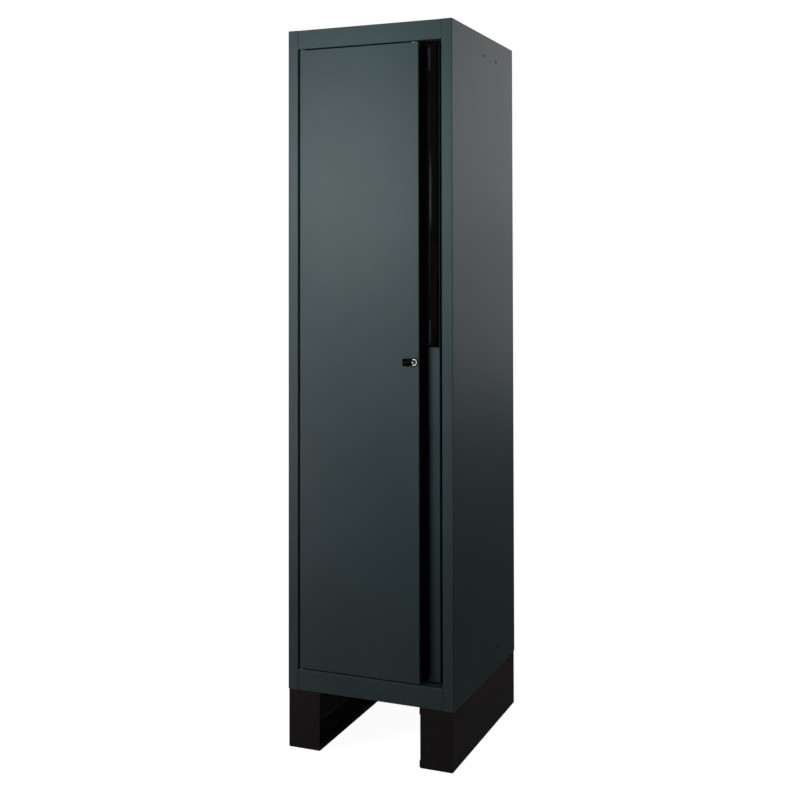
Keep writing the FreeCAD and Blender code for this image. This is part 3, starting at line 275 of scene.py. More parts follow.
class Effects:
    """Shader groups that the finishes share.

    A rise holds the values at which a mask starts and is full. The finer layer of the grain is FINER
    times as fine as the broad one and FINE_SHARE as high. Wiping marks are noise drawn out upwards.
    """

    FINER = 3.1
    FINE_SHARE = 0.35
    CLOUD_RISE = (0.32, 0.68)
    STREAK_SCALE = 3.0
    STREAK_STRETCH = (9.0, 9.0, 1.1)
    STREAK_LEAN = (0.0, 0.22, 0.0)
    WIPE_RISE = (0.52, 0.74)
    SPECK_SCALE = 60.0
    SPECK_RISE = (0.45, 0.7)
    CORNER_RISE = (0.03, 0.2)
    PATCH_RISE = (0.5, 0.72)
    # FACING_RISE and OPEN_RISE shape the mask of painted shade in recesses.
    FACING_RISE = (0.3, 0.6)
    OPEN_RISE = (0.76, 0.88)

    def __init__(self) -> None:
        """Build each group once."""
        self.grain = self._grain()
        self.handling = self._handling()
        self.edge = self._edge()
        self.nook = self._nook()

    def _grain(self) -> bpy.types.NodeTree:
        """Wire the fine rolling texture of a sprayed or moulded skin, as a height.

        Returns:
            The group.
        """
        group = Group("Skin grain", {"Size": 0.002}, ("Height",))
        scale = group.scale_for("Size")
        broad = group.noise(scale, detail=2.0, roughness=0.45)
        fine = group.noise(group.math("MULTIPLY", scale, self.FINER), detail=1.0)
        group.give("Height", group.math("ADD", broad, group.math("MULTIPLY", fine, self.FINE_SHARE)))
        return group.tree

    def _handling(self) -> bpy.types.NodeTree:
        """Wire the cloudy tone of a coat, its wiping marks, and the dust that gathers low down.

        Returns:
            The group.
        """
        group = Group("Handling marks", {"Cloud size": 0.25, "Dust top": 0.35}, ("Cloud", "Wipe", "Dust"))
        cloud = group.noise(group.scale_for("Cloud size"), detail=3.0, roughness=0.55)
        group.give("Cloud", group.ramp(cloud, *self.CLOUD_RISE))
        spot = group.place["Object"]
        drawn_out = group.add("Mapping", Vector=spot, Scale=self.STREAK_STRETCH, Rotation=self.STREAK_LEAN)
        streak = group.noise(self.STREAK_SCALE, detail=4.0, roughness=0.6, spot=drawn_out.outputs[0])
        group.give("Wipe", group.ramp(streak, *self.WIPE_RISE))
        level = group.add("SeparateXYZ", Vector=spot).outputs["Z"]
        low = group.add("MapRange", {"interpolation_type": "SMOOTHSTEP"}, Value=level, From__Min=0.0,
                        From__Max=group.given["Dust top"], To__Min=1.0, To__Max=0.0)
        speck = group.noise(self.SPECK_SCALE, detail=5.0, roughness=0.65)
        dust = group.math("MULTIPLY", low.outputs[0], group.ramp(speck, *self.SPECK_RISE))
        group.give("Dust", dust)
        return group.tree

    def _edge(self) -> bpy.types.NodeTree:
        """Wire the patchy rubbing along the sharp edges of a piece.

        Returns:
            The group.
        """
        group = Group("Edge rub", {"Reach": 0.0012, "Patch size": 0.03}, ("Rub",))
        soft = group.add("Bevel", {"samples": 4}, Radius=group.given["Reach"])
        turn = group.add("VectorMath", {"operation": "DOT_PRODUCT"})
        group.put(turn.inputs[0], soft.outputs[0])
        group.put(turn.inputs[1], group.add("NewGeometry").outputs["Normal"])
        corner = group.math("SUBTRACT", 1.0, turn.outputs["Value"])
        sharp = group.ramp(corner, *self.CORNER_RISE)
        patch = group.noise(group.scale_for("Patch size"), detail=4.0, roughness=0.7)
        group.give("Rub", group.math("MULTIPLY", sharp, group.ramp(patch, *self.PATCH_RISE)))
        return group.tree

    def _nook(self) -> bpy.types.NodeTree:
        """Wire how open a spot is, as the mask of painted shade: 0 deep in a recess that looks to the
        front or right, 1 elsewhere.

        Returns:
            The group.
        """
        group = Group("Nook shade", {"Reach": 0.03}, ("Open",))
        probe = {"samples": 16, "only_local": True}
        hollow = group.add("AmbientOcclusion", probe, Distance=group.given["Reach"])
        turn = group.add("SeparateXYZ", Vector=group.place["Normal"]).outputs
        facing = group.ramp(group.math("SUBTRACT", turn["X"], turn["Y"]), *self.FACING_RISE)
        away = group.math("SUBTRACT", 1.0, facing)
        group.give("Open", group.math("MAXIMUM", group.ramp(hollow.outputs["AO"], *self.OPEN_RISE), away))
        return group.tree


class Surface(Wiring):
    """A material with a Principled shader and its wiring."""

    def __init__(self, name: str) -> None:
        """Make the material and find its shader.

        Args:
            name: name of the material.
        """
        self.material = bpy.data.materials.new(name)
        self.material.use_nodes = True
        super().__init__(self.material.node_tree)
        self.shader = self.tree.nodes["Principled BSDF"]

    def dress(self, name: str, value: object) -> None:
        """Give the shader's own input a value or an output."""
        self.feed(self.shader, name, value)

    def effect(self, tree: bpy.types.NodeTree, **inputs: float) -> bpy.types.NodeOutputs:
        """Place a shared effect with this material's own values.

        Args:
            tree: the shader group.
            **inputs: its values by name, with a double underscore for a blank.

        Returns:
            What the group puts out.
        """
        node = self.tree.nodes.new("ShaderNodeGroup")
        node.node_tree = tree
        for name, value in inputs.items():
            self.feed(node, name.replace("__", " "), value)
        return node.outputs

    def rubbed(self, rub: bpy.types.NodeSocket, share: float, tone: object,
               bare: Colour) -> bpy.types.NodeSocket:
        """Let a paler colour show where the edges are rubbed.

        Args:
            rub: mask of the rubbing.
            share: how much of the paler colour shows where the mask is full.
            tone: colour of the rest.
            bare: the paler colour.

        Returns:
            The colour.
        """
        return self.blend(self.math("MULTIPLY", rub, share), tone, bare)

    def raise_grain(self, grain: bpy.types.NodeTree, size: float, height: float, strength: float) -> None:
        """Raise the surface by a fine grain.

        Args:
            grain: the grain's shader group.
            size: size of the grain in metres.
            height: height of the grain in metres.
            strength: strength of the bump, 0 to 1.
        """
        skin = self.effect(grain, Size=size)["Height"]
        self.dress("Normal", self.add("Bump", Height=skin, Distance=height, Strength=strength).outputs[0])


@dataclass(frozen=True)
class PowderCoat:
    """Semi-gloss powder coat on sheet steel. Its lengths are in metres."""

    deep: Colour
    light: Colour
    roughness: float = 0.42
    specular: float = 0.18
    cloud: float = 0.3
    dust: float = 0.10
    dust_top: float = 0.35
    dust_tone: Colour = srgb(150, 146, 138)
    dust_roughness: float = 0.12
    wipe: float = 0.015
    edge: float = 0.0014
    rub: float = 0.35
    rub_tone: Colour = srgb(120, 126, 128)
    # The next three fields paint shade into recesses: how far it reaches, its near-black colour, and the
    # gloss coat that fades out there.
    painted_shade_reach: float = 0.0
    painted_shade_tone: Colour = srgb(3, 3, 3)
    sheen: float = 0.0
    grain: float = 0.0022
    relief: float = 0.00004
    relief_strength: float = 0.35

    def build(self, name: str, effects: Effects) -> bpy.types.Material:
        """Make the coat: cloudy tone, wiping marks, low dust, rubbed edges, painted shade in recesses and
        orange peel.

        Args:
            name: name of the material.
            effects: the shared shader groups.

        Returns:
            The finished material.
        """
        surface = Surface(name)
        marks = surface.effect(effects.handling, Cloud__size=self.cloud, Dust__top=self.dust_top)
        rub = surface.effect(effects.edge, Reach=self.edge)["Rub"]
        tone = surface.blend(marks["Cloud"], self.deep, self.light)
        dusty = surface.blend(surface.math("MULTIPLY", marks["Dust"], self.dust), tone, self.dust_tone)
        colour = surface.rubbed(rub, self.rub, dusty, self.rub_tone)
        surface.dress("Specular IOR Level", self.specular)
        # Painted shade: in recesses the colour turns near black and the gloss coat fades, standing in for
        # the shade that falls there.
        if self.painted_shade_reach:
            unshaded = surface.effect(effects.nook, Reach=self.painted_shade_reach)["Open"]
            colour = surface.blend(unshaded, self.painted_shade_tone, colour)
            surface.dress("Coat Weight", surface.span(unshaded, 0.0, self.sheen))
            surface.dress("Coat Roughness", self.roughness)
        surface.dress("Base Color", colour)
        wiped = surface.span(marks["Wipe"], self.roughness, self.roughness + self.wipe)
        dulled = surface.math("MULTIPLY", marks["Dust"], self.dust_roughness)
        surface.dress("Roughness", surface.math("ADD", wiped, dulled))
        surface.raise_grain(effects.grain, self.grain, self.relief, self.relief_strength)
        return surface.material


@dataclass(frozen=True)
class PlatedSteel:
    """Zinc, nickel or chrome plate with a cloudy tone. Its lengths are in metres."""

    deep: Colour
    light: Colour
    roughness: float
    cloud: float = 0.012
    wipe: float = 0.14
    edge: float = 0.0005
    patch: float = 0.006
    rub: float = 0.6
    rub_tone: Colour = srgb(214, 214, 210)
    grain: float = 0.0008
    relief: float = 0.00002
    relief_strength: float = 0.3

    def build(self, name: str, effects: Effects) -> bpy.types.Material:
        """Make the plate: spangled tone, wiping marks, worn edges and a fine grain.

        Args:
            name: name of the material.
            effects: the shared shader groups.

        Returns:
            The finished material.
        """
        surface = Surface(name)
        marks = surface.effect(effects.handling, Cloud__size=self.cloud)
        rub = surface.effect(effects.edge, Reach=self.edge, Patch__size=self.patch)["Rub"]
        tone = surface.blend(marks["Cloud"], self.deep, self.light)
        surface.dress("Base Color", surface.rubbed(rub, self.rub, tone, self.rub_tone))
        wiped = surface.span(marks["Wipe"], self.roughness, self.roughness + self.wipe)
        surface.dress("Roughness", wiped)
        surface.dress("Metallic", 1.0)
        surface.raise_grain(effects.grain, self.grain, self.relief, self.relief_strength)
        return surface.material


@dataclass(frozen=True)
class Moulding:
    """Moulded plastic or rubber. Its lengths are in metres."""

    deep: Colour
    light: Colour
    roughness: float
    specular: float = 0.5
    cloud: float = 0.05
    wipe: float = 0.05
    edge: float = 0.0006
    patch: float = 0.012
    rub: float = 0.12
    rub_tone: Colour = srgb(112, 108, 110)
    grain: float = 0.0009
    relief: float = 0.00002
    relief_strength: float = 0.4

    def build(self, name: str, effects: Effects) -> bpy.types.Material:
        """Make the moulding: faint flow tone, handling marks, rubbed edges and a fine eroded skin.

        Args:
            name: name of the material.
            effects: the shared shader groups.

        Returns:
            The finished material.
        """
        surface = Surface(name)
        marks = surface.effect(effects.handling, Cloud__size=self.cloud)
        rub = surface.effect(effects.edge, Reach=self.edge, Patch__size=self.patch)["Rub"]
        tone = surface.blend(marks["Cloud"], self.deep, self.light)
        surface.dress("Base Color", surface.rubbed(rub, self.rub, tone, self.rub_tone))
        wiped = surface.span(marks["Wipe"], self.roughness, self.roughness + self.wipe)
        surface.dress("Roughness", wiped)
        surface.dress("Specular IOR Level", self.specular)
        surface.raise_grain(effects.grain, self.grain, self.relief, self.relief_strength)
        return surface.material


@dataclass(frozen=True)
class SmokedClear:
    """Smoked acrylic, too dark to see through. Its lengths are in metres."""

    deep: Colour
    light: Colour
    roughness: float = 0.14
    specular: float = 0.015
    cloud: float = 0.04
    wipe: float = 0.06
    grain: float = 0.004
    relief: float = 0.00001
    relief_strength: float = 0.2

    def build(self, name: str, effects: Effects) -> bpy.types.Material:
        """Make the cover: faint clouds, wiping marks and a slight waviness.

        Args:
            name: name of the material.
            effects: the shared shader groups.

        Returns:
            The finished material.
        """
        surface = Surface(name)
        marks = surface.effect(effects.handling, Cloud__size=self.cloud)
        surface.dress("Base Color", surface.blend(marks["Cloud"], self.deep, self.light))
        wiped = surface.span(marks["Wipe"], self.roughness, self.roughness + self.wipe)
        surface.dress("Roughness", wiped)
        surface.dress("Specular IOR Level", self.specular)
        surface.raise_grain(effects.grain, self.grain, self.relief, self.relief_strength)
        return surface.material


class Finishes:
    """Every finish of the locker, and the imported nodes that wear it."""

    ANTHRACITE = (srgb(54, 74, 76), srgb(58, 79, 81))

    RECIPES = {
        Finish.COAT: PowderCoat(*ANTHRACITE),
        # The door's coat is the body's anthracite with shade painted into its recesses.
        Finish.SHADED_DOOR_COAT: PowderCoat(*ANTHRACITE, specular=0.027, painted_shade_reach=0.05, sheen=0.305),
        # The feet's near-black coat, far darker than the body's, paints in the shade that they stand in
        # under the cabinet.
        Finish.FOOT_COAT: PowderCoat(srgb(27, 25, 27), srgb(30, 28, 30), dust=0.02),
        Finish.ZINC: PlatedSteel(srgb(172, 174, 176), srgb(196, 197, 196), roughness=0.28),
        Finish.ROD: PlatedSteel(srgb(112, 114, 116), srgb(128, 130, 131), roughness=0.34),
        Finish.PLUG: PlatedSteel(srgb(84, 83, 84), srgb(98, 97, 97), roughness=0.22),
        Finish.CHROME: PlatedSteel(srgb(206, 207, 210), srgb(224, 225, 226), roughness=0.08),
        Finish.MOULDING: Moulding(srgb(9, 6, 7), srgb(12, 8, 9), roughness=0.12, specular=0.02),
        Finish.RUBBER: Moulding(srgb(22, 22, 22), srgb(30, 30, 30), roughness=0.75, specular=0.3,
                                grain=0.0005, relief=0.00005),
        Finish.NYLON: Moulding(srgb(52, 52, 53), srgb(60, 60, 61), roughness=0.45),
        Finish.CLEAR: SmokedClear(srgb(9, 8, 9), srgb(15, 13, 14)),
    }

    # Every other node wears one of the two plain coats.
    WORN_BY = {
        Finish.SHADED_DOOR_COAT: ("door_skin",),
        Finish.CLEAR: ("label_window",),
        Finish.RUBBER: ("door_bumpers",),
        Finish.PLUG: ("lock_plug",),
        Finish.CHROME: ("lock_body",),
        Finish.NYLON: ("top_hinge_bush", "bottom_hinge_bush"),
        Finish.MOULDING: ("grip_strip", "top_grip_cap", "bottom_grip_cap", "escutcheon_ring", "key_bow"),
        Finish.ROD: ("upper_locking_rod", "lower_locking_rod"),
        Finish.ZINC: ("key_blade", "key_pivot_pin", "lock_nut", "lock_cam", "cam_screw", "rod_guides",
                      "foot_bolts", "foot_nuts", "grip_screws", "shelf_clips", "top_hinge_pin",
                      "bottom_hinge_pin"),
    }

    def __init__(self, effects: Effects) -> None:
        """Build each finish once.

        Args:
            effects: the shared shader groups.
        """
        self.materials: Materials = {}
        for finish, recipe in self.RECIPES.items():
            self.materials[finish] = recipe.build(finish.value, effects)

    def dress(self, piece: bpy.types.Object, finish: Finish) -> None:
        """Give a piece one finish all over.

        Args:
            piece: the piece.
            finish: its finish.
        """
        if not piece.material_slots:
            piece.data.materials.append(self.materials[finish])
        for slot in piece.material_slots:
            slot.material = self.materials[finish]

    def dress_nodes(self, nodes: dict[str, bpy.types.Object]) -> None:
        """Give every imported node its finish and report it.

        Args:
            nodes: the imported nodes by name.
        """
        worn = {node: finish for finish, names in self.WORN_BY.items() for node in names}
        for name, node in sorted(nodes.items()):
            # Nodes of the feet take the near-black coat, which paints in their shade.
            finish = worn.get(name, Finish.FOOT_COAT if "_foot_" in name else Finish.COAT)
            self.dress(node, finish)
            LOG.info("node %s wears %s", name, finish.value)


class Workpiece:
    """A new piece while its mesh is being formed."""

    SHARP = math.radians(38)
    MERGE = 1e-6
    HOLE_FACETS = 24

    def __init__(self, name: str) -> None:
        """Start an empty form."""
        self.name = name
        self.form = bmesh.new()

    def slab(self, outline: list[Corner], front: float, back: float,
             hole: tuple[float, float, float] | None = None) -> None:
        """Cut a plate from an outline that faces the front, with one round hole if asked.

        Args:
            outline: corners as x and z.
            front: y of its front face.
            back: y of its back face.
            hole: x, z and radius of the hole.
        """
        corners = [self.form.verts.new((x, front, z)) for x, z in outline]
        pairs = zip(corners, corners[-1:] + corners[:-1])
        edges = [self.form.edges.new(pair) for pair in pairs]
        if hole is None:
            faces = [self.form.faces.new(corners)]
        else:
            turn = Matrix.Translation((hole[0], front, hole[1])) @ Matrix.Rotation(math.pi / 2, 4, "X")
            rim = bmesh.ops.create_circle(self.form, cap_ends=False, segments=self.HOLE_FACETS,
                                          radius=hole[2], matrix=turn)
            edges += list(dict.fromkeys(edge for vert in rim["verts"] for edge in vert.link_edges))
            filled = bmesh.ops.triangle_fill(self.form, use_beauty=True, use_dissolve=False, edges=edges)
            faces = [item for item in filled["geom"] if isinstance(item, bmesh.types.BMFace)]
        grown = bmesh.ops.extrude_face_region(self.form, geom=faces)
        moved = [item for item in grown["geom"] if isinstance(item, bmesh.types.BMVert)]
        bmesh.ops.translate(self.form, verts=moved, vec=(0.0, back - front, 0.0))
        bmesh.ops.recalc_face_normals(self.form, faces=self.form.faces)

    def turned(self, profile: list[Corner], centre: Corner, closed: bool, facets: int) -> None:
        """Turn a profile about an axis that runs front to back.

        Args:
            profile: corners as radius and y.
            centre: x and z of the axis.
            closed: whether the profile closes on itself, as a ring's does.
            facets: facets round the axis.
        """
        corners = [self.form.verts.new((centre[0] + radius, y, centre[1])) for radius, y in profile]
        pairs = list(zip(corners, corners[1:])) + ([(corners[-1], corners[0])] if closed else [])
        edges = [self.form.edges.new(pair) for pair in pairs]
        bmesh.ops.spin(self.form, geom=corners + edges, cent=(centre[0], 0.0, centre[1]),
                       axis=(0.0, 1.0, 0.0), dvec=(0.0, 0.0, 0.0), angle=math.tau, steps=facets,
                       use_merge=True, use_duplicate=False)
        bmesh.ops.remove_doubles(self.form, verts=self.form.verts, dist=self.MERGE)
        bmesh.ops.recalc_face_normals(self.form, faces=self.form.faces)

    def soften(self, radius: float, segments: int, choose: Choice) -> None:
        """Round the sharp edges that the choice lets through.

        Args:
            radius: width of the rounding, in metres.
            segments: facets across it.
            choose: tells whether an edge is rounded.
        """
        edges = [edge for edge in self.form.edges if len(edge.link_faces) == 2
                 and edge.calc_face_angle(0.0) > self.SHARP and choose(edge)]
        bmesh.ops.bevel(self.form, geom=edges, offset=radius, offset_type="OFFSET", segments=segments,
                        profile=0.5, affect="EDGES", clamp_overlap=True, material=-1)

    def finished(self, body: Body, slot: Slot, material: bpy.types.Material,
                 *nodes: str) -> bpy.types.Object:
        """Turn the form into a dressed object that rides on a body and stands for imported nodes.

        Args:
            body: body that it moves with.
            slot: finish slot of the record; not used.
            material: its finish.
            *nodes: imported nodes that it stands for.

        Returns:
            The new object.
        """
        mesh = bpy.data.meshes.new(self.name)
        self.form.to_mesh(mesh)
        self.form.free()
        mesh.materials.append(material)
        mesh.polygons.foreach_set("use_smooth", [True] * len(mesh.polygons))
        mesh.set_sharp_from_angle(angle=self.SHARP)
        piece = bpy.data.objects.new(self.name, mesh)
        bpy.context.scene.collection.objects.link(piece)
        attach(piece, body.value)
        if nodes:
            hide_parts(*nodes)
        LOG.info("piece %s rides on %s", self.name, body.value)
        return piece


def runs_along(edge: bmesh.types.BMEdge, axis: int) -> bool:
    """Tell whether an edge runs along one axis: 0 is x, 1 is y, 2 is z."""
    run = edge.verts[1].co - edge.verts[0].co
    return abs(run[axis]) > ALONG * run.length


def front_rim(front: float) -> Choice:
    """Choose the edges that lie in a piece's front face, which is at that y."""
    return lambda edge: all(vert.co.y < front + TOUCH for vert in edge.verts)


@dataclass
class Lock:
    """Ring, and folding bow of the key, in front of the door."""

    ring_inner: float = 0.0093
    ring_soft: float = 0.0009
    ring_facets: int = 64
    bow_neck: float = 0.0070
    bow_pivot_back: float = 0.0035
    bow_ear: float = 0.0045
    fork_half: float = 0.0023
    fork_deep: float = 0.0061
    bow_corner: float = 0.0042
    bow_soft: float = 0.0011
    nose_share: float = 0.45
    eye_inset: float = 0.0048
    eye_radius: float = 0.0019

    def build(self, materials: Materials) -> None:
        """Make the ring and the bow."""
        self._ring(materials[Finish.MOULDING])
        self._bow(materials[Finish.MOULDING])

    def _ring(self, material: bpy.types.Material) -> None:
        """Turn the black ring round the plug, with soft rims.

        Args:
            material: its finish.
        """
        low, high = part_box("escutcheon_ring")
        centre = ((low[0] + high[0]) / 2, (low[2] + high[2]) / 2)
        outer = (high[0] - low[0]) / 2
        inner = self.ring_inner
        profile = [(inner, high[1]), (outer, high[1]), (outer, low[1]), (inner, low[1])]
        work = Workpiece("lock_ring")
        work.turned(profile, centre, closed=True, facets=self.ring_facets)
        work.soften(self.ring_soft, segments=3, choose=front_rim(low[1]))
        work.finished(Body.DOOR, Slot.MOULDING, material, "escutcheon_ring")

    def _bow(self, material: bpy.types.Material) -> None:
        """Mould the bow: wide grip with an eye, and two ears that straddle the blade.

        Args:
            material: its finish.
        """
        low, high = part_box("key_bow")
        middle = (low[2] + high[2]) / 2
        neck = high[0] - self.bow_pivot_back - self.bow_neck
        crotch = high[0] - self.fork_deep
        upper = [(low[0], high[2]), (neck, high[2]), (neck, middle + self.bow_ear),
                 (high[0], middle + self.bow_ear), (high[0], middle + self.fork_half),
                 (crotch, middle + self.fork_half)]
        lower = [(x, 2 * middle - z) for x, z in reversed(upper)]

        def grip_corner(edge: bmesh.types.BMEdge) -> bool:
            """Choose the corners of the wide grip, which run from front to back."""
            x, _, z = edge.verts[0].co
            return runs_along(edge, 1) and x < neck + TOUCH and abs(z - middle) > self.bow_ear + NEAR

        def ear_end(edge: bmesh.types.BMEdge) -> bool:
            """Choose the ends of the ears, front and back."""
            return runs_along(edge, 2) and edge.verts[0].co.x > high[0] - TOUCH

        def grip_rim(edge: bmesh.types.BMEdge) -> bool:
            """Choose the front and back rims of the grip and of its eye."""
            return not runs_along(edge, 1) and all(vert.co.x < neck + NEAR for vert in edge.verts)

        work = Workpiece("key_grip")
        work.slab(upper + lower, low[1], high[1], (low[0] + self.eye_inset, middle, self.eye_radius))
        work.soften(self.bow_corner, segments=6, choose=grip_corner)
        work.soften((high[1] - low[1]) * self.nose_share, segments=5, choose=ear_end)
        work.soften(self.bow_soft, segments=3, choose=grip_rim)
        work.finished(Body.BOW, Slot.MOULDING, material, "key_bow")


@dataclass
class Handle:
    """End caps and label cover of the grip strip."""

    waist: float = 0.0050
    toe: float = 0.0090
    toe_share: float = 0.95
    cap_corner: float = 0.0045
    cap_soft: float = 0.0022
    cover_soft: float = 0.0004

    def build(self, materials: Materials) -> None:
        """Make both caps and the label cover.

        Args:
            materials: the finishes.
        """
        for name, up in (("top_grip_cap", True), ("bottom_grip_cap", False)):
            self._cap(name, up, materials[Finish.MOULDING])
        self._window(materials[Finish.CLEAR])

    def _cap(self, node: str, up: bool, material: bpy.types.Material) -> None:
        """Mould one cap: waisted towards the strip, its toe flared towards the door's step.

        Args:
            node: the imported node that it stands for.
            up: whether it closes the strip's top.
            material: its finish.
        """
        low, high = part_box(node)
        strip_low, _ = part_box("grip_strip")
        inner, outer = (low[2], high[2]) if up else (high[2], low[2])
        shoulder = outer + (-self.toe if up else self.toe)
        waist = strip_low[0] + self.waist
        outline = [(high[0], inner), (high[0], outer), (low[0], outer),
                   (low[0], shoulder), (waist, shoulder), (waist, inner)]
        in_front = front_rim(low[1])

        def corner_at(x: float, z: float) -> Choice:
            """Choose the corner of the outline that is at that x and z."""
            return lambda edge: (runs_along(edge, 1) and abs(edge.verts[0].co.x - x) < TOUCH
                                 and abs(edge.verts[0].co.z - z) < TOUCH)

        def free_rim(edge: bmesh.types.BMEdge) -> bool:
            """Choose the front rim except where the cap meets the strip."""
            return in_front(edge) and not all(abs(vert.co.z - inner) < TOUCH for vert in edge.verts)

        work = Workpiece(node.replace("_grip", "") + "_moulding")
        work.slab(outline, low[1], high[1])
        work.soften(self.cap_corner, segments=5, choose=corner_at(low[0], outer))
        work.soften(self.toe * self.toe_share, segments=6, choose=corner_at(waist, shoulder))
        work.soften(self.cap_soft, segments=4, choose=free_rim)
        work.finished(Body.DOOR, Slot.MOULDING, material, node)

    def _window(self, material: bpy.types.Material) -> None:
        """Snap the smoked cover into the strip's recess.

        Args:
            material: its finish.
        """
        low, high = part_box("label_window")
        outline = [(low[0], low[2]), (high[0], low[2]), (high[0], high[2]), (low[0], high[2])]
        cover = Workpiece("label_cover")
        cover.slab(outline, low[1], high[1])
        cover.soften(self.cover_soft, segments=3, choose=front_rim(low[1]))
        cover.finished(Body.DOOR, Slot.CLEAR, material, "label_window")


@dataclass
class Bumpers:
    """Domed rubber studs that the door closes on."""

    count: int = 3
    dome: float = 0.0022
    facets: int = 32

    def build(self, materials: Materials) -> None:
        """Turn one domed stud at each level.

        Args:
            materials: the finishes.
        """
        low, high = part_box("door_bumpers")
        radius = (high[0] - low[0]) / 2
        span = high[2] - low[2] - radius * 2
        profile = [(0.0, high[1]), (radius, high[1]), (radius, low[1]), (0.0, low[1])]
        work = Workpiece("bumper_studs")
        for number in range(self.count):
            level = low[2] + radius + span * number / (self.count - 1)
            work.turned(profile, (low[0] + radius, level), closed=False, facets=self.facets)
        work.soften(self.dome, segments=4, choose=front_rim(low[1]))
        work.finished(Body.CABINET, Slot.RUBBER, materials[Finish.RUBBER], "door_bumpers")


@dataclass(frozen=True)
class Lamp:
    """One soft rectangular lamp: its place, what it faces, its size in metres and its cone in degrees."""

    name: str
    at: Point
    aim: Point
    size: tuple[float, float]
    watts: float
    cone: float
    tint: Light = WHITE

    def hang(self) -> None:
        """Hang the lamp and turn it to what it faces."""
        light = bpy.data.lights.new(self.name, "AREA")
        light.shape = "RECTANGLE"
        light.size, light.size_y = self.size
        light.energy = self.watts
        light.color = self.tint
        light.spread = math.radians(self.cone)
        lamp = bpy.data.objects.new(self.name, light)
        lamp.location = self.at
        lamp.rotation_euler = (Vector(self.aim) - Vector(self.at)).to_track_quat("-Z", "Y").to_euler()
        bpy.context.scene.collection.objects.link(lamp)


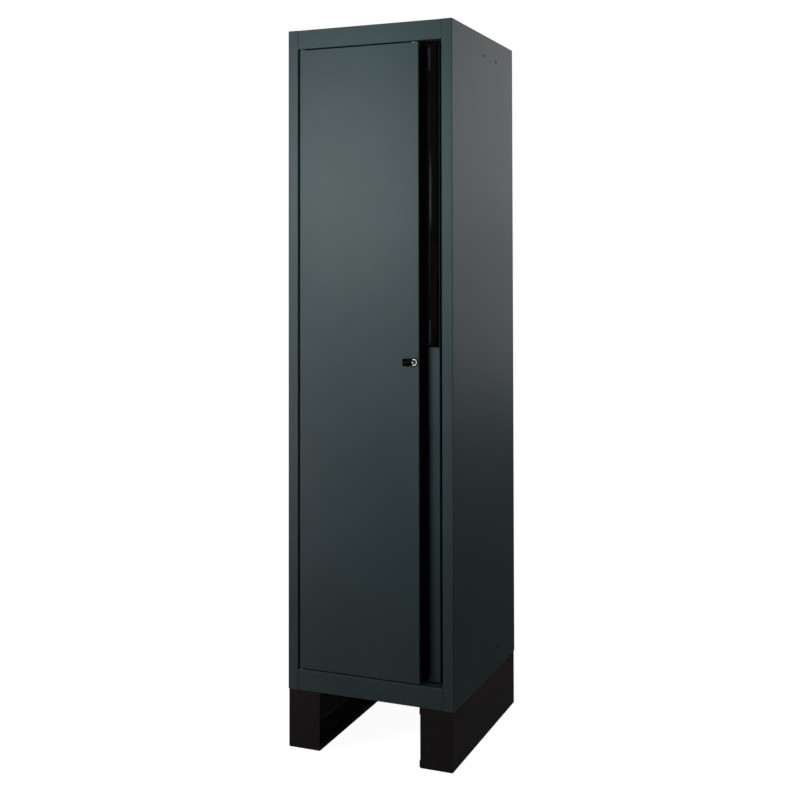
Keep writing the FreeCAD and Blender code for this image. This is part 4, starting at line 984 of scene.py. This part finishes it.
@dataclass
class Studio:
    """Pale floor, white backdrop, soft lamps and the camera.

    The lens is given in pixels of a square picture, with the pixel that it points at. The rest is in
    metres and radians.
    """

    lens_px: float = 1135.8
    image_px: float = 800.0
    centre_px: tuple[float, float] = (459.2, 239.1)
    sensor_mm: float = 36.0
    clip: tuple[float, float] = (0.05, 60.0)
    camera_at: Point = (1.3388, -3.06545, 1.350)
    yaw: float = math.radians(20.86)
    pitch: float = math.radians(1.12)
    roll: float = math.radians(-0.168)
    floor_half: float = 9.0
    floor_deep: Colour = (0.80, 0.80, 0.80, 1.0)
    floor_light: Colour = (0.83, 0.83, 0.83, 1.0)
    floor_rise: tuple[float, float] = (0.3, 0.7)
    floor_roughness: float = 0.9
    floor_specular: float = 0.08
    floor_glow: float = 0.95
    air_level: float = 0.05
    lamps: tuple[Lamp, ...] = (
        Lamp("key_lamp", at=(-1.04, -2.09, 1.7), aim=(0.05, -0.25, 1.75), size=(0.2, 0.9),
             watts=4.3, cone=75.0),
        Lamp("low_lamp", at=(-1.5, -1.5, 0.7), aim=(-0.1, -0.26, 0.6), size=(0.8, 0.8),
             watts=3.5, cone=90.0, tint=ROSE),
        Lamp("side_lamp", at=(1.9, 1.5, 1.9), aim=(0.25, 0.1, 1.6), size=(0.7, 0.7),
             watts=0.8, cone=80.0),
        Lamp("bend_lamp", at=(1.5, -2.45, 1.6), aim=(0.2, -0.25, 1.5), size=(0.06, 0.7),
             watts=0.8, cone=50.0),
        Lamp("lip_lamp", at=(-1.3, -2.3, 1.55), aim=(0.15, -0.25, 1.55), size=(0.05, 2.0),
             watts=0.4, cone=80.0),
        Lamp("rear_lamp", at=(0.45, 2.6, 2.1), aim=(0.1, 0.2, 1.6), size=(0.8, 1.0),
             watts=0.5, cone=80.0),
    )

    def build(self) -> None:
        """Set up floor, world, lamps and camera."""
        self._floor()
        self._world()
        for lamp in self.lamps:
            lamp.hang()
        self._camera()
        bpy.context.scene.view_settings.view_transform = "Standard"
        LOG.info("studio ready")

    def _floor(self) -> None:
        """Lay a pale floor that the lens sees as white with the locker's shadow on it."""
        mesh = bpy.data.meshes.new("studio_floor")
        form = bmesh.new()
        bmesh.ops.create_grid(form, x_segments=1, y_segments=1, size=self.floor_half)
        form.to_mesh(mesh)
        form.free()
        floor = bpy.data.objects.new("studio_floor", mesh)
        bpy.context.scene.collection.objects.link(floor)
        surface = Surface("Pale studio floor")
        spot = surface.add("TexCoord").outputs["Object"]
        cloud = surface.add("TexNoise", Vector=spot, Scale=1.3, Detail=2.0).outputs[0]
        surface.dress("Base Color", surface.blend(surface.ramp(cloud, *self.floor_rise), self.floor_deep,
                                                  self.floor_light))
        surface.dress("Roughness", self.floor_roughness)
        surface.dress("Specular IOR Level", self.floor_specular)
        rays = surface.add("LightPath").outputs
        direct = surface.math("MAXIMUM", rays["Is Camera Ray"], rays["Is Transmission Ray"])
        surface.dress("Emission Color", (*WHITE, 1.0))
        surface.dress("Emission Strength", surface.math("MULTIPLY", direct, self.floor_glow))
        mesh.materials.append(surface.material)

    def _world(self) -> None:
        """Make a backdrop that is white to the lens, to gloss and to clear pieces, and dim to the rest."""
        world = bpy.data.worlds.new("Studio air")
        bpy.context.scene.world = world
        world.use_nodes = True
        wiring = Wiring(world.node_tree)
        backdrop = world.node_tree.nodes["Background"]
        rays = wiring.add("LightPath").outputs
        mirrored = wiring.math("MAXIMUM", rays["Is Glossy Ray"], rays["Is Transmission Ray"])
        seen = wiring.math("MAXIMUM", rays["Is Camera Ray"], mirrored)
        wiring.feed(backdrop, "Color", wiring.blend(seen, (*ROSE, 1.0), (*WHITE, 1.0)))
        wiring.feed(backdrop, "Strength", wiring.span(seen, self.air_level, 1.0))

    def _camera(self) -> None:
        """Stand the camera where the locker is looked at from its front right."""
        data = bpy.data.cameras.new("lens")
        data.sensor_fit = "HORIZONTAL"
        data.sensor_width = self.sensor_mm
        data.lens = self.lens_px / self.image_px * data.sensor_width
        half = self.image_px / 2
        data.shift_x = (half - self.centre_px[0]) / self.image_px
        data.shift_y = (self.centre_px[1] - half) / self.image_px
        data.clip_start, data.clip_end = self.clip
        camera = bpy.data.objects.new("lens", data)
        bpy.context.scene.collection.objects.link(camera)
        ahead = Vector((-math.sin(self.yaw) * math.cos(self.pitch),
                        math.cos(self.yaw) * math.cos(self.pitch), math.sin(self.pitch)))
        level = Vector((math.cos(self.yaw), math.sin(self.yaw), 0.0))
        above = level.cross(ahead)
        right = level * math.cos(self.roll) + above * math.sin(self.roll)
        above = above * math.cos(self.roll) - level * math.sin(self.roll)
        turn = Matrix((right, above, -ahead)).transposed().to_4x4()
        camera.matrix_world = Matrix.Translation(self.camera_at) @ turn
        bpy.context.scene.camera = camera


def main() -> None:
    """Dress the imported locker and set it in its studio."""
    logging.basicConfig(level=logging.INFO, format="%(name)s: %(message)s")
    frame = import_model()
    finishes = Finishes(Effects())
    finishes.dress_nodes(frame["nodes"])
    for assembly in (Lock(), Handle(), Bumpers()):
        assembly.build(finishes.materials)
        LOG.info("%s fitted", type(assembly).__name__)
    Studio().build()


if __name__ == "__main__":
    main()
